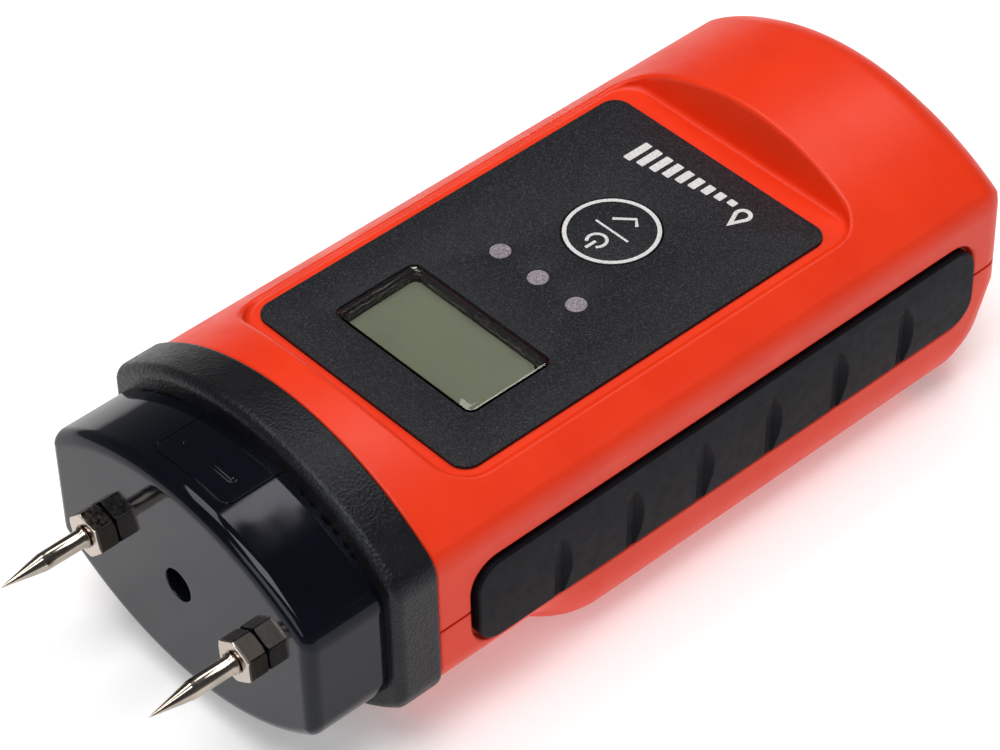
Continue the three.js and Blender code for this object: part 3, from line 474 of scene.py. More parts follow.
class Finish:
    """A material with a principled shader, and textures in the model's own metres."""

    def __init__(self, name, **sockets):
        self.name = name
        self.material = bpy.data.materials.new(f"{name}_finish")
        self.material.use_nodes = True
        self.tree = self.material.node_tree
        self.shader = self.tree.nodes["Principled BSDF"]
        self.place = self.tree.nodes.new("ShaderNodeTexCoord").outputs["Object"]
        set_inputs(self.shader, sockets)

    def node(self, kind, **values):
        node = self.tree.nodes.new(f"ShaderNode{kind}")
        set_inputs(node, values)
        return node

    def link(self, source, target):
        self.tree.links.new(source, target)

    def noise(self, size, detail=3.0, roughness=0.5, stretch=None):
        """Noise with blobs about size millimetres across, stretched along the axes if wanted."""
        node = self.node("TexNoise", Scale=1 / (size * MM), Detail=detail, Roughness=roughness)
        self.link(self.stretched(stretch), node.inputs["Vector"])
        return node.outputs["Fac"]

    def cells(self, size, feature="F1"):
        node = self.node("TexVoronoi", Scale=1 / (size * MM))
        node.feature = feature
        self.link(self.place, node.inputs["Vector"])
        return node.outputs["Distance"]

    def stretched(self, stretch):
        if stretch is None:
            return self.place
        node = self.node("Mapping", Scale=stretch)
        self.link(self.place, node.inputs["Vector"])
        return node.outputs["Vector"]

    def along(self, low, high):
        """How far a point lies from low to high along the meter, as 0 to 1."""
        split = self.node("SeparateXYZ")
        self.link(self.place, split.inputs["Vector"])
        share = self.node("MapRange", From_Min=low * MM, From_Max=high * MM)
        self.link(split.outputs["Y"], share.inputs["Value"])
        return share.outputs["Result"]

    def ramp(self, value, stops):
        """Maps a value through stops, each a place and a screen colour or a grey level."""
        node = self.node("ValToRGB")
        elements = node.color_ramp.elements
        for i, (place, color) in enumerate(stops):
            element = elements[i] if i < 2 else elements.new(place)
            element.position = place
            element.color = linear(*color) if isinstance(color, tuple) else (color, color, color, 1)
        self.link(value, node.inputs["Fac"])
        return node.outputs["Color"]

    def color(self, value, stops):
        self.link(self.ramp(value, stops), self.shader.inputs["Base Color"])
        return self

    def rough(self, value, low, high):
        self.link(self.ramp(value, [(0.3, low), (0.7, high)]), self.shader.inputs["Roughness"])
        return self

    def bump(self, value, depth, strength=1.0):
        """Relief of the given depth in millimetres; a second call adds to the first."""
        node = self.node("Bump", Strength=strength, Distance=depth * MM)
        self.link(value, node.inputs["Height"])
        normal = self.shader.inputs["Normal"]
        if normal.is_linked:
            self.link(normal.links[0].from_socket, node.inputs["Normal"])
        self.link(node.outputs["Normal"], normal)
        return self


def mottled(name, patch, dark, light, grain, smooth, rough, **sockets):
    """A finish whose colour varies over patches, and roughness over grains, in millimetres."""
    finish = Finish(name, **sockets)
    finish.color(finish.noise(patch), [(0.3, dark), (0.7, light)])
    return finish.rough(finish.noise(grain), smooth, rough)


def black(name, patch, dark, light, grain, smooth, rough, shine):
    """A black plastic or rubber, whose sheen is slightly blue."""
    bluish = (0.84, 0.88, 1.0, 1)
    sheen = {"Specular_IOR_Level": shine, "Specular_Tint": bluish}
    return mottled(name, patch, dark, light, grain, smooth, rough, **sheen)


def case_plastic():
    red, bright_red = (232, 50, 10), (240, 56, 14)
    finish = mottled("case_plastic", 9, red, bright_red, 5, 0.36, 0.46, Specular_IOR_Level=0.32)
    return finish.bump(finish.noise(0.35, 2), 0.012).bump(finish.noise(2.5), 0.02)


def nose_plastic():
    finish = black("nose_plastic", 7, (9, 11, 17), (13, 15, 23), 3, 0.05, 0.1, 0.24)
    return finish.bump(finish.noise(6, 1), 0.03)


def collar_plastic():
    finish = black("collar_plastic", 2, (15, 15, 16), (22, 22, 24), 0.8, 0.3, 0.42, 0.26)
    return finish.bump(finish.cells(0.36), 0.045, 0.9).bump(finish.noise(0.2), 0.03)


def grip_rubber():
    finish = black("grip_rubber", 4, (10, 11, 15), (16, 17, 22), 1.2, 0.42, 0.54, 0.1)
    return finish.bump(finish.noise(0.18, 2), 0.012)


def label_film():
    finish = Finish("label_film", Specular_IOR_Level=0.25)
    speck = finish.noise(0.17, 2, 0.7)
    stops = [(0.4, (17, 18, 22)), (0.55, (30, 31, 36)), (0.72, (66, 68, 76))]
    finish.color(speck, stops)
    finish.rough(finish.noise(0.5), 0.5, 0.68)
    return finish.bump(speck, 0.03)


def print_ink():
    finish = Finish("print_ink", Specular_IOR_Level=0.3)
    finish.color(finish.noise(0.2), [(0.35, (196, 196, 196)), (0.6, (226, 226, 224))])
    return finish.rough(finish.noise(0.3), 0.5, 0.65)


def clear_window():
    finish = Finish("clear_window", Base_Color=linear(244, 246, 238), Transmission_Weight=1.0, IOR=1.49)
    return finish.rough(finish.noise(4), 0.0, 0.012)


def lcd_glass():
    finish = Finish("lcd_glass", Coat_Weight=1.0, Coat_Roughness=0.03)
    grain = finish.noise(0.12, 1)
    finish.color(grain, [(0.35, (141, 145, 129)), (0.65, (153, 157, 141))])
    return finish.rough(finish.noise(3), 0.3, 0.4)


def bezel_plastic():
    coat = {"Coat_Weight": 0.6, "Coat_Roughness": 0.06}
    return mottled("bezel_plastic", 2, (24, 14, 18), (34, 20, 24), 1, 0.2, 0.3, **coat)


def contact_rubber():
    finish = Finish("contact_rubber")
    layers = finish.noise(0.4, stretch=(1, 8, 8))
    finish.color(layers, [(0.4, (60, 62, 66)), (0.6, (96, 98, 104))])
    return finish.rough(finish.noise(1), 0.8, 0.9)


def light_plastic():
    finish = Finish("light_plastic", Coat_Weight=0.2, Coat_Roughness=0.2)
    speck = finish.noise(0.16, 2, 0.7)
    stops = [(0.35, (104, 96, 104)), (0.5, (136, 127, 134)), (0.68, (176, 168, 172))]
    finish.color(speck, stops)
    return finish.rough(finish.noise(0.4), 0.35, 0.5).bump(speck, 0.02)


def led_resin():
    clear = {"Transmission_Weight": 0.5, "IOR": 1.5}
    return mottled("led_resin", 1, (205, 200, 190), (222, 220, 212), 1, 0.15, 0.25, **clear)


def turned_metal(name, dark, light, smooth, rough, stretch):
    """Metal with the fine rings that turning leaves, close together along the stretched axis."""
    finish = Finish(name, Metallic=1.0)
    rings = finish.noise(0.35, 2, stretch=stretch)
    finish.color(finish.noise(2.5), [(0.3, dark), (0.7, light)])
    finish.rough(rings, smooth, rough)
    return finish.bump(rings, 0.003)


def nickel():
    return turned_metal("nickel", (156, 147, 136), (186, 176, 164), 0.1, 0.2, (0.15, 3, 0.15))


def nut_metal_painted_light():
    """Metal with painted light: the turned front face is painted bright as a reflection, and the flats
    behind it are painted dark as shade.
    """
    finish = Finish("nut_metal_painted_light", Metallic=1.0)
    low, high = span("hex_nut_left")
    painted_bright_face, dark = (190, 178, 168), (112, 105, 97)
    # Painted reflection on the front face and painted shade on the flats, split by place along the meter.
    finish.color(finish.along(low[1], high[1]), [(0.1, painted_bright_face), (0.16, dark)])
    return finish.rough(finish.noise(0.35, 2), 0.12, 0.26)


def steel():
    return turned_metal("steel", (150, 152, 156), (190, 192, 196), 0.25, 0.4, (2, 2, 0.3))


def brass():
    return turned_metal("brass", (176, 130, 62), (214, 172, 96), 0.2, 0.35, (0.3, 3, 0.3))


def board_laminate():
    finish = Finish("board_laminate", Coat_Weight=0.4, Coat_Roughness=0.2)
    tracks = finish.cells(2.4, "DISTANCE_TO_EDGE")
    finish.color(tracks, [(0.04, (46, 128, 72)), (0.09, (20, 88, 46))])
    return finish.rough(finish.noise(1), 0.3, 0.45).bump(tracks, 0.02)


def chip_resin():
    finish = mottled("chip_resin", 0.3, (26, 26, 28), (38, 38, 40), 0.5, 0.5, 0.7)
    return finish.bump(finish.noise(0.15), 0.01)


def battery_jacket():
    finish = Finish("battery_jacket", Coat_Weight=0.3, Coat_Roughness=0.15)
    low, high = span("battery")
    copper, navy = (190, 132, 70), (34, 42, 60)
    finish.color(finish.along(low[1], high[1]), [(0.30, copper), (0.31, navy)])
    return finish.rough(finish.noise(2), 0.25, 0.4)


def wire(name, dark, light):
    return mottled(name, 1.5, dark, light, 0.6, 0.4, 0.55, Specular_IOR_Level=0.4)


def wire_red():
    return wire("wire_red", (150, 22, 16), (186, 34, 26))


def wire_black():
    return wire("wire_black", (20, 20, 20), (32, 32, 32))


def battery_metal():
    return mottled("battery_metal", 2, (168, 168, 170), (206, 206, 208), 0.6, 0.2, 0.35, Metallic=1.0)


MAKERS = [
    case_plastic, nose_plastic, collar_plastic, grip_rubber, label_film, print_ink, clear_window, lcd_glass,
    bezel_plastic, contact_rubber, light_plastic, led_resin, nickel, nut_metal_painted_light, steel, brass,
    board_laminate, chip_resin, battery_jacket, battery_metal, wire_red, wire_black,
]
FINISHES = {finish.name: finish.material for finish in [make() for make in MAKERS]}


# ---- Solids from outlines and profiles ----
def turned(profile, centre, axis="z", sides=64):
    """A solid of revolution from points (radius, place along the axis), the first and last on the axis."""
    rings = []
    points = []
    for radius, along in profile:
        turns = [0.0] if radius == 0 else np.linspace(0, 2 * math.pi, sides, endpoint=False)
        rings.append(range(len(points), len(points) + len(turns)))
        for turn in turns:
            u, v = radius * math.cos(turn), radius * math.sin(turn)
            points.append((u, v, along) if axis == "z" else (u, along, -v))
    faces = []
    for here, there in zip(rings, rings[1:]):
        for i in range(sides):
            j = (i + 1) % sides
            a, b = here[i % len(here)], here[j % len(here)]
            c, d = there[j % len(there)], there[i % len(there)]
            faces.append(tuple(dict.fromkeys((a, b, c, d))))
    return np.array(points) + np.array(centre), faces


def corner_arc(cu, cv, r, start, sweep=90, steps=8):
    turns = [math.radians(start + sweep * i / steps) for i in range(steps + 1)]
    return [(cu + r * math.cos(turn), cv + r * math.sin(turn)) for turn in turns]


def rounded_outline(low, high, r):
    (u0, v0), (u1, v1) = low, high
    right = corner_arc(u1 - r, v0 + r, r, -90) + corner_arc(u1 - r, v1 - r, r, 0)
    return right + corner_arc(u0 + r, v1 - r, r, 90) + corner_arc(u0 + r, v0 + r, r, 180)


def circle(cu, cv, r, sides=48):
    return corner_arc(cu, cv, r, 0, 360 * (sides - 1) / sides, sides - 1)


def prism(outlines, bottom, top, bevel=0.0):
    """A flat plate over closed outlines in plan, where an outline inside another is a hole."""
    bm = bmesh.new()
    for outline in outlines:
        ring = [bm.verts.new((x, y, top)) for x, y in outline]
        for a, b in zip(ring, ring[1:] + ring[:1]):
            bm.edges.new((a, b))
    bmesh.ops.triangle_fill(bm, use_beauty=True, use_dissolve=False, edges=bm.edges[:])
    bmesh.ops.recalc_face_normals(bm, faces=bm.faces[:])
    if sum(face.normal.z for face in bm.faces) < 0:
        bmesh.ops.reverse_faces(bm, faces=bm.faces[:])
    rim = [edge for edge in bm.edges if edge.is_boundary]
    lid = bm.faces[:]
    made = bmesh.ops.extrude_face_region(bm, geom=lid, use_keep_orig=True)
    lowered = [item for item in made["geom"] if isinstance(item, bmesh.types.BMVert)]
    bmesh.ops.translate(bm, vec=(0, 0, bottom - top), verts=lowered)
    bmesh.ops.recalc_face_normals(bm, faces=bm.faces[:])
    if bevel:
        bmesh.ops.bevel(bm, geom=rim, offset=bevel, segments=2, affect="EDGES", profile=0.5)
    bm.verts.index_update()
    points = [tuple(vert.co) for vert in bm.verts]
    faces = [tuple(vert.index for vert in face.verts) for face in bm.faces]
    bm.free()
    return points, faces


def stroke(path, width):
    """The outline of a line of the given width along a path in plan."""
    path = np.array(path, dtype=float)
    run = np.gradient(path, axis=0)
    run /= np.linalg.norm(run, axis=1)[:, None]
    across = np.stack([-run[:, 1], run[:, 0]], axis=1) * width / 2
    return [tuple(p) for p in np.concatenate([path + across, (path - across)[::-1]])]


def joined(parts):
    """Several solids as one."""
    points, faces = [], []
    for part_points, part_faces in parts:
        base = len(points)
        points.extend(tuple(p) for p in part_points)
        faces.extend(tuple(i + base for i in face) for face in part_faces)
    return points, faces


# ---- Moulded parts: each grid reaches past the part and is finest round its edges ----
SHELL_SIDES = [RECESS["seat"], HALF - 0.2]
SHELL_ENDS = [FRONT + 0.2, GRIP_LOW[1] - 0.4, GRIP_HIGH[1] + 0.4, END]


def build_upper_shell():
    across = [LABEL_HIGH[0] + POCKET["side"] + 0.2, *SHELL_SIDES, WINDOW_HIGH[0] + 0.25]
    along = [*SHELL_ENDS, LABEL_LOW[1] - 2.5, LABEL_HIGH[1] + 3.6]
    heights = [PARTING["z"], GRIP_HIGH[2] + RECESS["margin"], POCKET["floor"] + 0.1]
    xs = mirrored(ticks(0.05, HALF + 0.5, 1.1, across))
    ys = ticks(FRONT - 0.4, END + 0.6, 1.2, along)
    zs = ticks(PARTING["z"] - 0.5, PEAK + 0.5, 0.8, heights)
    mould("upper_shell_moulding", upper_shell, (xs, ys, zs), "case_plastic", "upper_shell")


def build_lower_shell():
    across = [DOOR["half"] + 0.2, DOOR_HEAD_HALF + 0.2, *SHELL_SIDES]
    slot = DOOR["front"] - TONGUE["length"]
    bay = [SCREWS[0][1], BULKHEAD["front"] + 0.6, slot, DOOR["front"], DOOR["head"]]
    well, recess = WELL["top"], GRIP_LOW[2] - RECESS["margin"]
    heights = [BOTTOM, TONGUE["bottom"], DOOR_TOP["head"] + 0.1, well, recess, PARTING["z"]]
    xs = mirrored(ticks(0.05, HALF + 0.5, 1.1, across))
    ys = ticks(FRONT - 0.4, END + 0.6, 1.2, [*SHELL_ENDS, *bay])
    zs = ticks(BOTTOM - 0.5, PARTING["z"] + 0.5, 0.8, heights)
    mould("lower_shell_moulding", lower_shell, (xs, ys, zs), "case_plastic", "lower_shell")


def build_battery_door():
    across = [PULL["half"], TONGUE["half"], RAIL["inner"], DOOR["half"], DOOR_HEAD_HALF]
    pulls = [PULL["first"] + reach for reach in (1.7, 4.7, 7.7)]
    tip = DOOR["front"] - TONGUE["length"]
    along = [tip, DOOR["front"], *RAIL_ENDS.values(), DOOR["head"], *pulls, END]
    heights = [BOTTOM + 0.2, TONGUE["bottom"], TONGUE["top"], RAIL["under"], DOOR_TOP["head"]]
    xs = mirrored(ticks(0.05, DOOR_HEAD_HALF + 0.6, 1.1, across))
    ys = ticks(tip - 0.4, END + 0.6, 0.9, along)
    zs = ticks(BOTTOM - 0.4, DOOR_TOP["head"] + 0.5, 0.7, heights)
    mould("battery_door_moulding", battery_door, (xs, ys, zs), "case_plastic", "battery_door", "door")


def build_collar():
    half, peak = COLLAR_HIGH[0], COLLAR_HIGH[2]
    xs = mirrored(ticks(0.05, half + 0.5, 0.9, [half - 0.2]))
    ys = ticks(COLLAR_LOW[1] - 0.4, COLLAR_HIGH[1] + 0.4, 0.7, [COLLAR_LOW[1] + 0.3, COLLAR_HIGH[1]], 0.14)
    zs = mirrored(ticks(0.05, peak + 0.5, 0.8, [COLLAR["shoulder"], peak], 0.25))
    mould("collar_ring", collar, (xs, ys, zs), "collar_plastic", "collar")


def build_nose():
    across = [PORT["r"], PANEL["half"], NOSE["half"] - 0.2]
    along = [NOSE_LOW[1] + 0.4, PANEL["front"], (RIDGE["front"] + RIDGE["back"]) / 2]
    heights = [PORT["r"], NOSE["shoulder"], NOSE["peak"]]
    xs = mirrored(ticks(0.03, NOSE["half"] + 0.5, 0.8, across, 0.07, 0.2))
    ys = ticks(NOSE_LOW[1] - 0.4, NOSE_HIGH[1] + 0.5, 0.9, along, 0.07, 0.15)
    zs = mirrored(ticks(0.03, NOSE["peak"] + 0.6, 0.7, heights, 0.1, 0.25))
    mould("nose_moulding", nose_block, (xs, ys, zs), "nose_plastic", "nose_block")


def build_grips():
    """The right pad, and its mirror image on the left."""
    slots = [SLOT["first"] + SLOT["pitch"] * i + along for i in range(SLOT["count"]) for along in (0, 1.5)]
    low, high = GRIP_LOW, GRIP_HIGH
    xs = ticks(low[0] - 0.2, high[0] + 0.3, 0.3, [high[0] - 0.2], 0.1)
    ys = ticks(low[1] - 0.4, high[1] + 0.4, 0.9, [low[1] + 0.3, high[1] - 0.3, *slots], 0.13, 0.18)
    zs = ticks(low[2] - 0.4, high[2] + 0.4, 0.5, [low[2] + 0.3, SLOT["top"], high[2] - 0.15], 0.1)
    points, faces, normals = skin(grip, xs, ys, zs)
    for side, flip in (("right", 1), ("left", -1)):
        turn = np.array([flip, 1.0, 1.0])
        shape = (points * turn, faces[:, ::flip])
        piece(f"grip_pad_{side}", *shape, "grip_rubber", "case", [f"grip_{side}"], normals * turn)


# ---- Electrodes ----
def hex_nut(x, y, z, low, high):
    """A chamfered hexagon along y with a corner on +x, tapped by a countersunk bore."""
    half, edge = NUT["flats"] / 2, NUT["edge"]
    turns = [math.radians(a) for a in (30, 90, 150)]
    flats = [np.abs(x * math.cos(turn) + z * math.sin(turn)) - half for turn in turns]
    shape = smax(smax(flats[0], flats[1], edge), flats[2], edge)
    radius = hypot(x, z)
    reach = (radius - half - NUT["flat_rim"]) * math.sin(NUT["chamfer"])
    for depth in (y - low, high - y):
        shape = smax(shape, reach - depth * math.cos(NUT["chamfer"]), edge)
    shape = smax(smax(shape, low - y, edge), y - high, edge)
    sink = COUNTERSINK["r"] - radius - COUNTERSINK["fall"] * (y - low)
    bore = maximum(NUT["bore"] - radius, sink / hypot(1, COUNTERSINK["fall"]))
    return smax(shape, bore, COUNTERSINK["edge"])


def build_nuts():
    for side, turn in NUT_TURN.items():
        low, high = span(f"hex_nut_{side}")
        centre = (low + high) / 2
        thick = high[1] - low[1]
        across = mirrored(ticks(0.03, 2.8, 0.16, [2.2], 0.1))
        along = ticks(-0.2, thick + 0.2, 0.2, [0.0, 0.3, thick], 0.07)
        points, faces, normals = skin(partial(hex_nut, low=0.0, high=thick), across, along, across)
        spin = np.array(Matrix.Rotation(-math.radians(turn), 3, "Y"))
        points = points @ spin.T + np.array([centre[0], low[1], centre[2]])
        nodes = [f"hex_nut_{side}"]
        piece(f"lock_nut_{side}", points, faces, "nut_metal_painted_light", "case", nodes, normals @ spin.T)


def build_pins():
    for side in NUT_TURN:
        low, high = span(f"electrode_pin_{side}")
        centre = ((low[0] + high[0]) / 2, 0, (low[2] + high[2]) / 2)
        tip, end, r = low[1], high[1], (high[0] - low[0]) / 2
        shoulder = tip + PIN["cone"]
        nut = span(f"hex_nut_{side}")[0][1]
        blunt = [(0, tip), (0.03, tip + 0.01), (0.05, tip + 0.05), (0.1, tip + 0.3)]
        cone = [(r - 0.03, shoulder - 0.12), (r - 0.005, shoulder + 0.02), (r, shoulder + 0.15)]
        ring = [(r, nut - 0.62), (PIN["ring"], nut - 0.42), (PIN["ring"], nut - 0.1), (r, nut + 0.1)]
        profile = [*blunt, *cone, *ring, (r, end - 0.2), (r - 0.2, end), (0, end)]
        needle = turned(profile, centre, "y")
        piece(f"needle_{side}", *needle, "nickel", stands_for=[f"electrode_pin_{side}"], crease=50)


# ---- Face ----
def build_label():
    grow = WINDOW["opening"]
    window = rounded_outline(WINDOW_LOW[:2] - grow, WINDOW_HIGH[:2] + grow, WINDOW["corner"] + grow)
    dots = [circle(at[0], at[1], LIGHT_R + 0.05) for at in LIGHTS]
    button = circle(0, BUTTON["y"], BUTTON["r"] + BUTTON["film_gap"], 96)
    outline = rounded_outline(LABEL_LOW[:2], LABEL_HIGH[:2], LABEL["corner"])
    film = prism([outline, window, button, *dots], LABEL_LOW[2], LABEL_HIGH[2], LABEL["edge"])
    piece("face_film", *film, "label_film", stands_for=["face_label"])


def build_window():
    outline = rounded_outline(WINDOW_LOW[:2], WINDOW_HIGH[:2], WINDOW["corner"])
    pane = prism([outline], WINDOW_LOW[2], WINDOW_HIGH[2], WINDOW["edge"])
    piece("window_pane", *pane, "clear_window", stands_for=["display_window"])


def build_bezel():
    reach = BEZEL_HIGH[:2]
    along = [BEZEL_LOW[1], WINDOW_LOW[1], WINDOW_HIGH[1], reach[1]]
    xs = mirrored(ticks(0.05, reach[0] + 0.3, 1.2, [WINDOW_HIGH[0], reach[0]], 0.08, 0.25))
    ys = ticks(BEZEL_LOW[1] - 0.3, reach[1] + 0.3, 1.0, along, 0.08)
    heights = [BEZEL_Z["flange"] + 0.06, BEZEL_Z["ledge"], LABEL_LOW[2]]
    zs = ticks(BEZEL_LOW[2] - 0.2, LABEL_LOW[2] + 0.2, 0.6, heights, 0.08)
    mould("bezel_frame", display_bezel, (xs, ys, zs), "bezel_plastic", "display_bezel")


def build_lights():
    for i, at in enumerate(LIGHTS, start=1):
        low, high = span(f"light_window_{i}")
        r, top, edge = LIGHT_R, high[2], 0.06
        profile = [(0, low[2]), (r, low[2]), (r, top - edge), (r - edge, top), (0, top)]
        spot = turned(profile, (at[0], at[1], 0))
        piece(f"indicator_{i}", *spot, "light_plastic", stands_for=[f"light_window_{i}"])


def build_button():
    low, top, r, wide = BUTTON_LOW[2], BUTTON_HIGH[2], BUTTON["r"], BUTTON_HIGH[0]
    foot, raised, flange = BUTTON_FOOT["r"], low + BUTTON_FOOT["height"], low + BUTTON_FOOT["flange"]
    under = [(0, low), (foot, low), (foot, raised), (wide, raised), (wide, flange), (r, flange)]
    rim = [(r, top - 0.1), (r - 0.03, top - 0.03), (r - 0.1, top), (0, top)]
    key = turned([*under, *rim], (0, BUTTON["y"], 0), sides=96)
    piece("power_key", *key, "label_film", "button", ["power_button"])


def printed(name, outlines, top, body="case"):
    """Ink on a face at height top."""
    solids = [prism(outline, top - INK["below"], top + INK["above"]) for outline in outlines]
    piece(name, *joined(solids), "print_ink", body)


def droplet(cx, cy, r):
    """A drop with a round base of radius r at (cx, cy) and its point towards -y."""
    base = corner_arc(cx, cy, r, -35, 250, 20)
    return [*base, (cx, cy - 2.3 * r)]


def build_button_marks():
    """A ring, a power sign, a dividing line and a tick, printed on the key."""
    y, r, line = BUTTON["y"], BUTTON["r"], 0.36
    ring = [circle(0, y, r - 0.1, 96), circle(0, y, r - 0.55, 96)]
    power = stroke(corner_arc(0, y - 2.15, 1.05, -50, 280, 24), line)
    bar = stroke([(0, y - 3.75), (0, y - 2.3)], line)
    divider = stroke([(-2.4, y), (2.4, y)], 0.26)
    tick = stroke([(1.3, y + 2.3), (0.4, y + 3.1), (-1.4, y + 1.4)], 0.38)
    printed("key_print", [ring, [power], [bar], [divider], [tick]], BUTTON_HIGH[2], "button")


def build_face_marks():
    """A drop and a row of rising bars, printed on the film behind the key."""
    height, half, drop = MARK["height"], MARK["bar"] / 2, MARK["drop"]
    base = LABEL_HIGH[1] - MARK["margin"]
    at = (MARK["end"] - drop, base - drop)
    outlines = [[droplet(*at, drop), droplet(*at, drop * 0.55)]]
    for i in range(MARK["bars"]):
        x = MARK["end"] - 2 * drop - MARK["pitch"] * (i + 0.7)
        reach = height * (0.25 + 0.75 * i / (MARK["bars"] - 1))
        outlines.append([rounded_outline((x - half, base - reach), (x + half, base), 0.15)])
    printed("film_print", outlines, LABEL_HIGH[2])


# ---- Fasteners and battery ----
def case_screw(x, y, z, low, high):
    """A pan head seen from below, with a cross recess, on a plain shank."""
    radius, across, along = hypot(x, y), np.abs(x), np.abs(y)
    head = smax(radius - SCREW["head"], z - low - SCREW["height"], 0.1)
    head = smax(head, low - z, SCREW["dome"])
    half, reach = CROSS["half"], CROSS["reach"]
    cross = minimum(maximum(across - half, along - reach), maximum(along - half, across - reach))
    head = smax(head, -maximum(cross, z - low - CROSS["depth"]), CROSS["edge"])
    shank = maximum(radius - SCREW["shank"], maximum(low + SCREW["neck"] - z, z - high))
    return minimum(head, shank)


def build_screws():
    for i, at in enumerate(SCREWS, start=1):
        low, high = span(f"case_screw_{i}")
        across = mirrored(ticks(0.04, SCREW["head"] + 0.3, 0.2, [CROSS["half"], SCREW["head"]], 0.09))
        up = ticks(low[2] - 0.2, high[2] + 0.5, 1.5, [low[2] + 0.2, low[2] + 1.2], 0.1)
        shape = partial(case_screw, low=low[2], high=high[2])
        points, faces, normals = skin(shape, across, across, up)
        points = points + np.array([at[0], at[1], 0])
        piece(f"cross_screw_{i}", points, faces, "steel", stands_for=[f"case_screw_{i}"], normals=normals)


def along_meter(solid):
    """A prism drawn in x and height, turned so that it runs along the meter."""
    points, faces = solid
    return [(u, w, v) for u, v, w in points], [face[::-1] for face in faces]


def build_battery():
    """A block battery: jacket, crimped end plates, and a stud and a socket at its front."""
    low, high = span("battery")
    tip, front, back = low[1], low[1] + TERMINAL["length"], high[1]
    corner, inset, margin = BATTERY["corner"], BATTERY["inset"], BATTERY["margin"]
    wide, narrow = (low[[0, 2]], high[[0, 2]]), (low[[0, 2]] + inset, high[[0, 2]] - inset)
    jacket = prism([rounded_outline(*wide, corner)], front + margin, back - margin, inset)
    piece("battery_wrap", *along_meter(jacket), "battery_jacket", stands_for=["battery"])
    plate, thick = rounded_outline(*narrow, corner - 0.2), BATTERY["plate"]
    ends = [along_meter(prism([plate], y, y + thick, 0.15)) for y in (front, back - thick)]
    x, middle, root = TERMINAL["x"], (low[2] + high[2]) / 2, front + 0.1
    hexagon = [circle(-x, middle, TERMINAL["hexagon"], 6), circle(-x, middle, TERMINAL["bore"])]
    socket = along_meter(prism(hexagon, tip, root, 0.1))
    r, edge = TERMINAL["stud"], 0.3
    profile = [(0, tip), (r - edge, tip), (r, tip + edge), (r, root), (0, root)]
    stud = turned(profile, (x, 0, middle), "y", 32)
    piece("battery_ends", *joined([*ends, socket, stud]), "battery_metal")


# ---- The CAD nodes that are shown as they are ----
CAD_FINISH = {
    "chip_resin": ["temperature_sensor", "switch_plunger", "microcontroller", "amplifier_chip"],
    "brass": ["brass_insert_left", "brass_insert_right"],
    "wire_black": ["electrode_wire_left", "electrode_wire_right", "battery_snap", "snap_wire_black"],
    "wire_red": ["snap_wire_red"],
    "lcd_glass": ["lcd_panel"],
    "contact_rubber": ["contact_strip_front", "contact_strip_back"],
    "led_resin": ["led_1", "led_2", "led_3"],
    "steel": ["switch_body", *(f"board_screw_{i}" for i in range(1, 5))],
    "board_laminate": ["circuit_board"],
}


def finish_cad_nodes():
    for finish, names in CAD_FINISH.items():
        for name in names:
            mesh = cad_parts[name].data
            mesh.materials.clear()
            mesh.materials.append(FINISHES[finish])


# ---- Studio, in metres ----
CAMERA = {
    "place": (0.213118, -0.185788, 0.280227),
    "ahead": (-0.55189, 0.48350, -0.67945),
    "roll": math.radians(-1.57),
    "lens": 135.29,
    "sensor": 36,
}
AIM = Vector((0, 0, 0.015))
SKY = [(0.0, (0.2, 0.2, 0.205, 1)), (0.5, (0.07, 0.07, 0.075, 1))]
PAPER = {"half": 1.5, "height": -0.0001, "color": (0.92, 0.92, 0.92, 1), "glow": 0.28}


def build_camera():
    data = bpy.data.cameras.new("camera")
    data.lens = CAMERA["lens"]
    data.sensor_width = CAMERA["sensor"]
    camera = shown("camera", data)
    ahead = Vector(CAMERA["ahead"]).normalized()
    level = ahead.cross(Vector((0, 0, 1))).normalized()
    up = level.cross(ahead)
    roll = CAMERA["roll"]
    right = level * math.cos(roll) + up * math.sin(roll)
    up = right.cross(ahead)
    turn = Matrix((right, up, -ahead)).transposed()
    camera.matrix_world = Matrix.Translation(CAMERA["place"]) @ turn.to_4x4()
    bpy.context.scene.camera = camera


def area_light(name, place, size, power, color=(1, 1, 1)):
    data = bpy.data.lights.new(name, "AREA")
    data.shape = "RECTANGLE"
    data.size, data.size_y = size
    data.energy = power
    data.color = color
    light = shown(name, data)
    light.location = place
    light.rotation_mode = "QUATERNION"
    light.rotation_quaternion = (AIM - Vector(place)).to_track_quat("-Z", "Y")


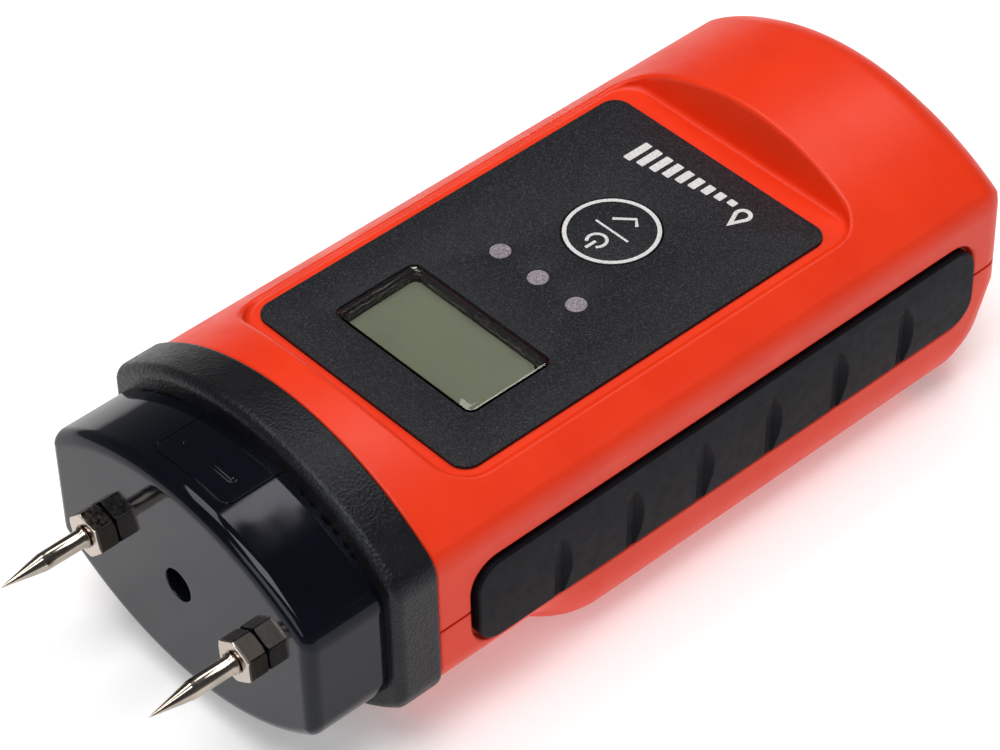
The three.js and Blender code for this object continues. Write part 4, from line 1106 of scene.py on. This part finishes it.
def build_studio():
    world = bpy.data.worlds.new("studio")
    bpy.context.scene.world = world
    world.use_nodes = True
    tree = world.node_tree
    sky = tree.nodes["Background"]
    place = tree.nodes.new("ShaderNodeTexCoord").outputs["Generated"]
    split = tree.nodes.new("ShaderNodeSeparateXYZ")
    ramp = tree.nodes.new("ShaderNodeValToRGB")
    tree.links.new(place, split.inputs["Vector"])
    tree.links.new(split.outputs["Z"], ramp.inputs["Fac"])
    tree.links.new(ramp.outputs["Color"], sky.inputs["Color"])
    for element, (height, color) in zip(ramp.color_ramp.elements, SKY):
        element.position = height
        element.color = color
    area_light("key", (0.25, -0.35, 1.35), (0.7, 0.7), 10)
    area_light("fill", (0.15, -1.15, 0.75), (0.8, 0.5), 3.4)
    area_light("edge", (0.55, 0.39, 0.45), (0.12, 0.05), 0.22)
    area_light("overhead", (-0.07, 0.34, 0.6), (0.26, 0.2), 1.0, (1.0, 0.96, 0.93))
    area_light("streak", (-0.25, -0.05, 0.65), (0.42, 0.2), 1.3, (1.0, 0.97, 0.94))
    build_floor()
    bpy.context.scene.view_settings.view_transform = "Standard"


def build_floor():
    paper = bpy.data.materials.new("white_paper")
    paper.use_nodes = True
    glow = {"Emission_Color": (1, 1, 1, 1), "Emission_Strength": PAPER["glow"]}
    sockets = {"Base_Color": PAPER["color"], "Roughness": 0.9, "Specular_IOR_Level": 0.1, **glow}
    set_inputs(paper.node_tree.nodes["Principled BSDF"], sockets)
    mesh = bpy.data.meshes.new("floor")
    half, height = PAPER["half"], PAPER["height"]
    corners = [(x * half, y * half, height) for x, y in ((-1, -1), (1, -1), (1, 1), (-1, 1))]
    mesh.from_pydata(corners, [], [(0, 1, 2, 3)])
    mesh.materials.append(paper)
    shown("floor", mesh)


build_upper_shell()
build_lower_shell()
build_battery_door()
build_collar()
build_nose()
build_grips()
build_nuts()
build_pins()
build_label()
build_window()
build_bezel()
build_lights()
build_button()
build_button_marks()
build_face_marks()
build_screws()
build_battery()
finish_cad_nodes()
build_camera()
build_studio()
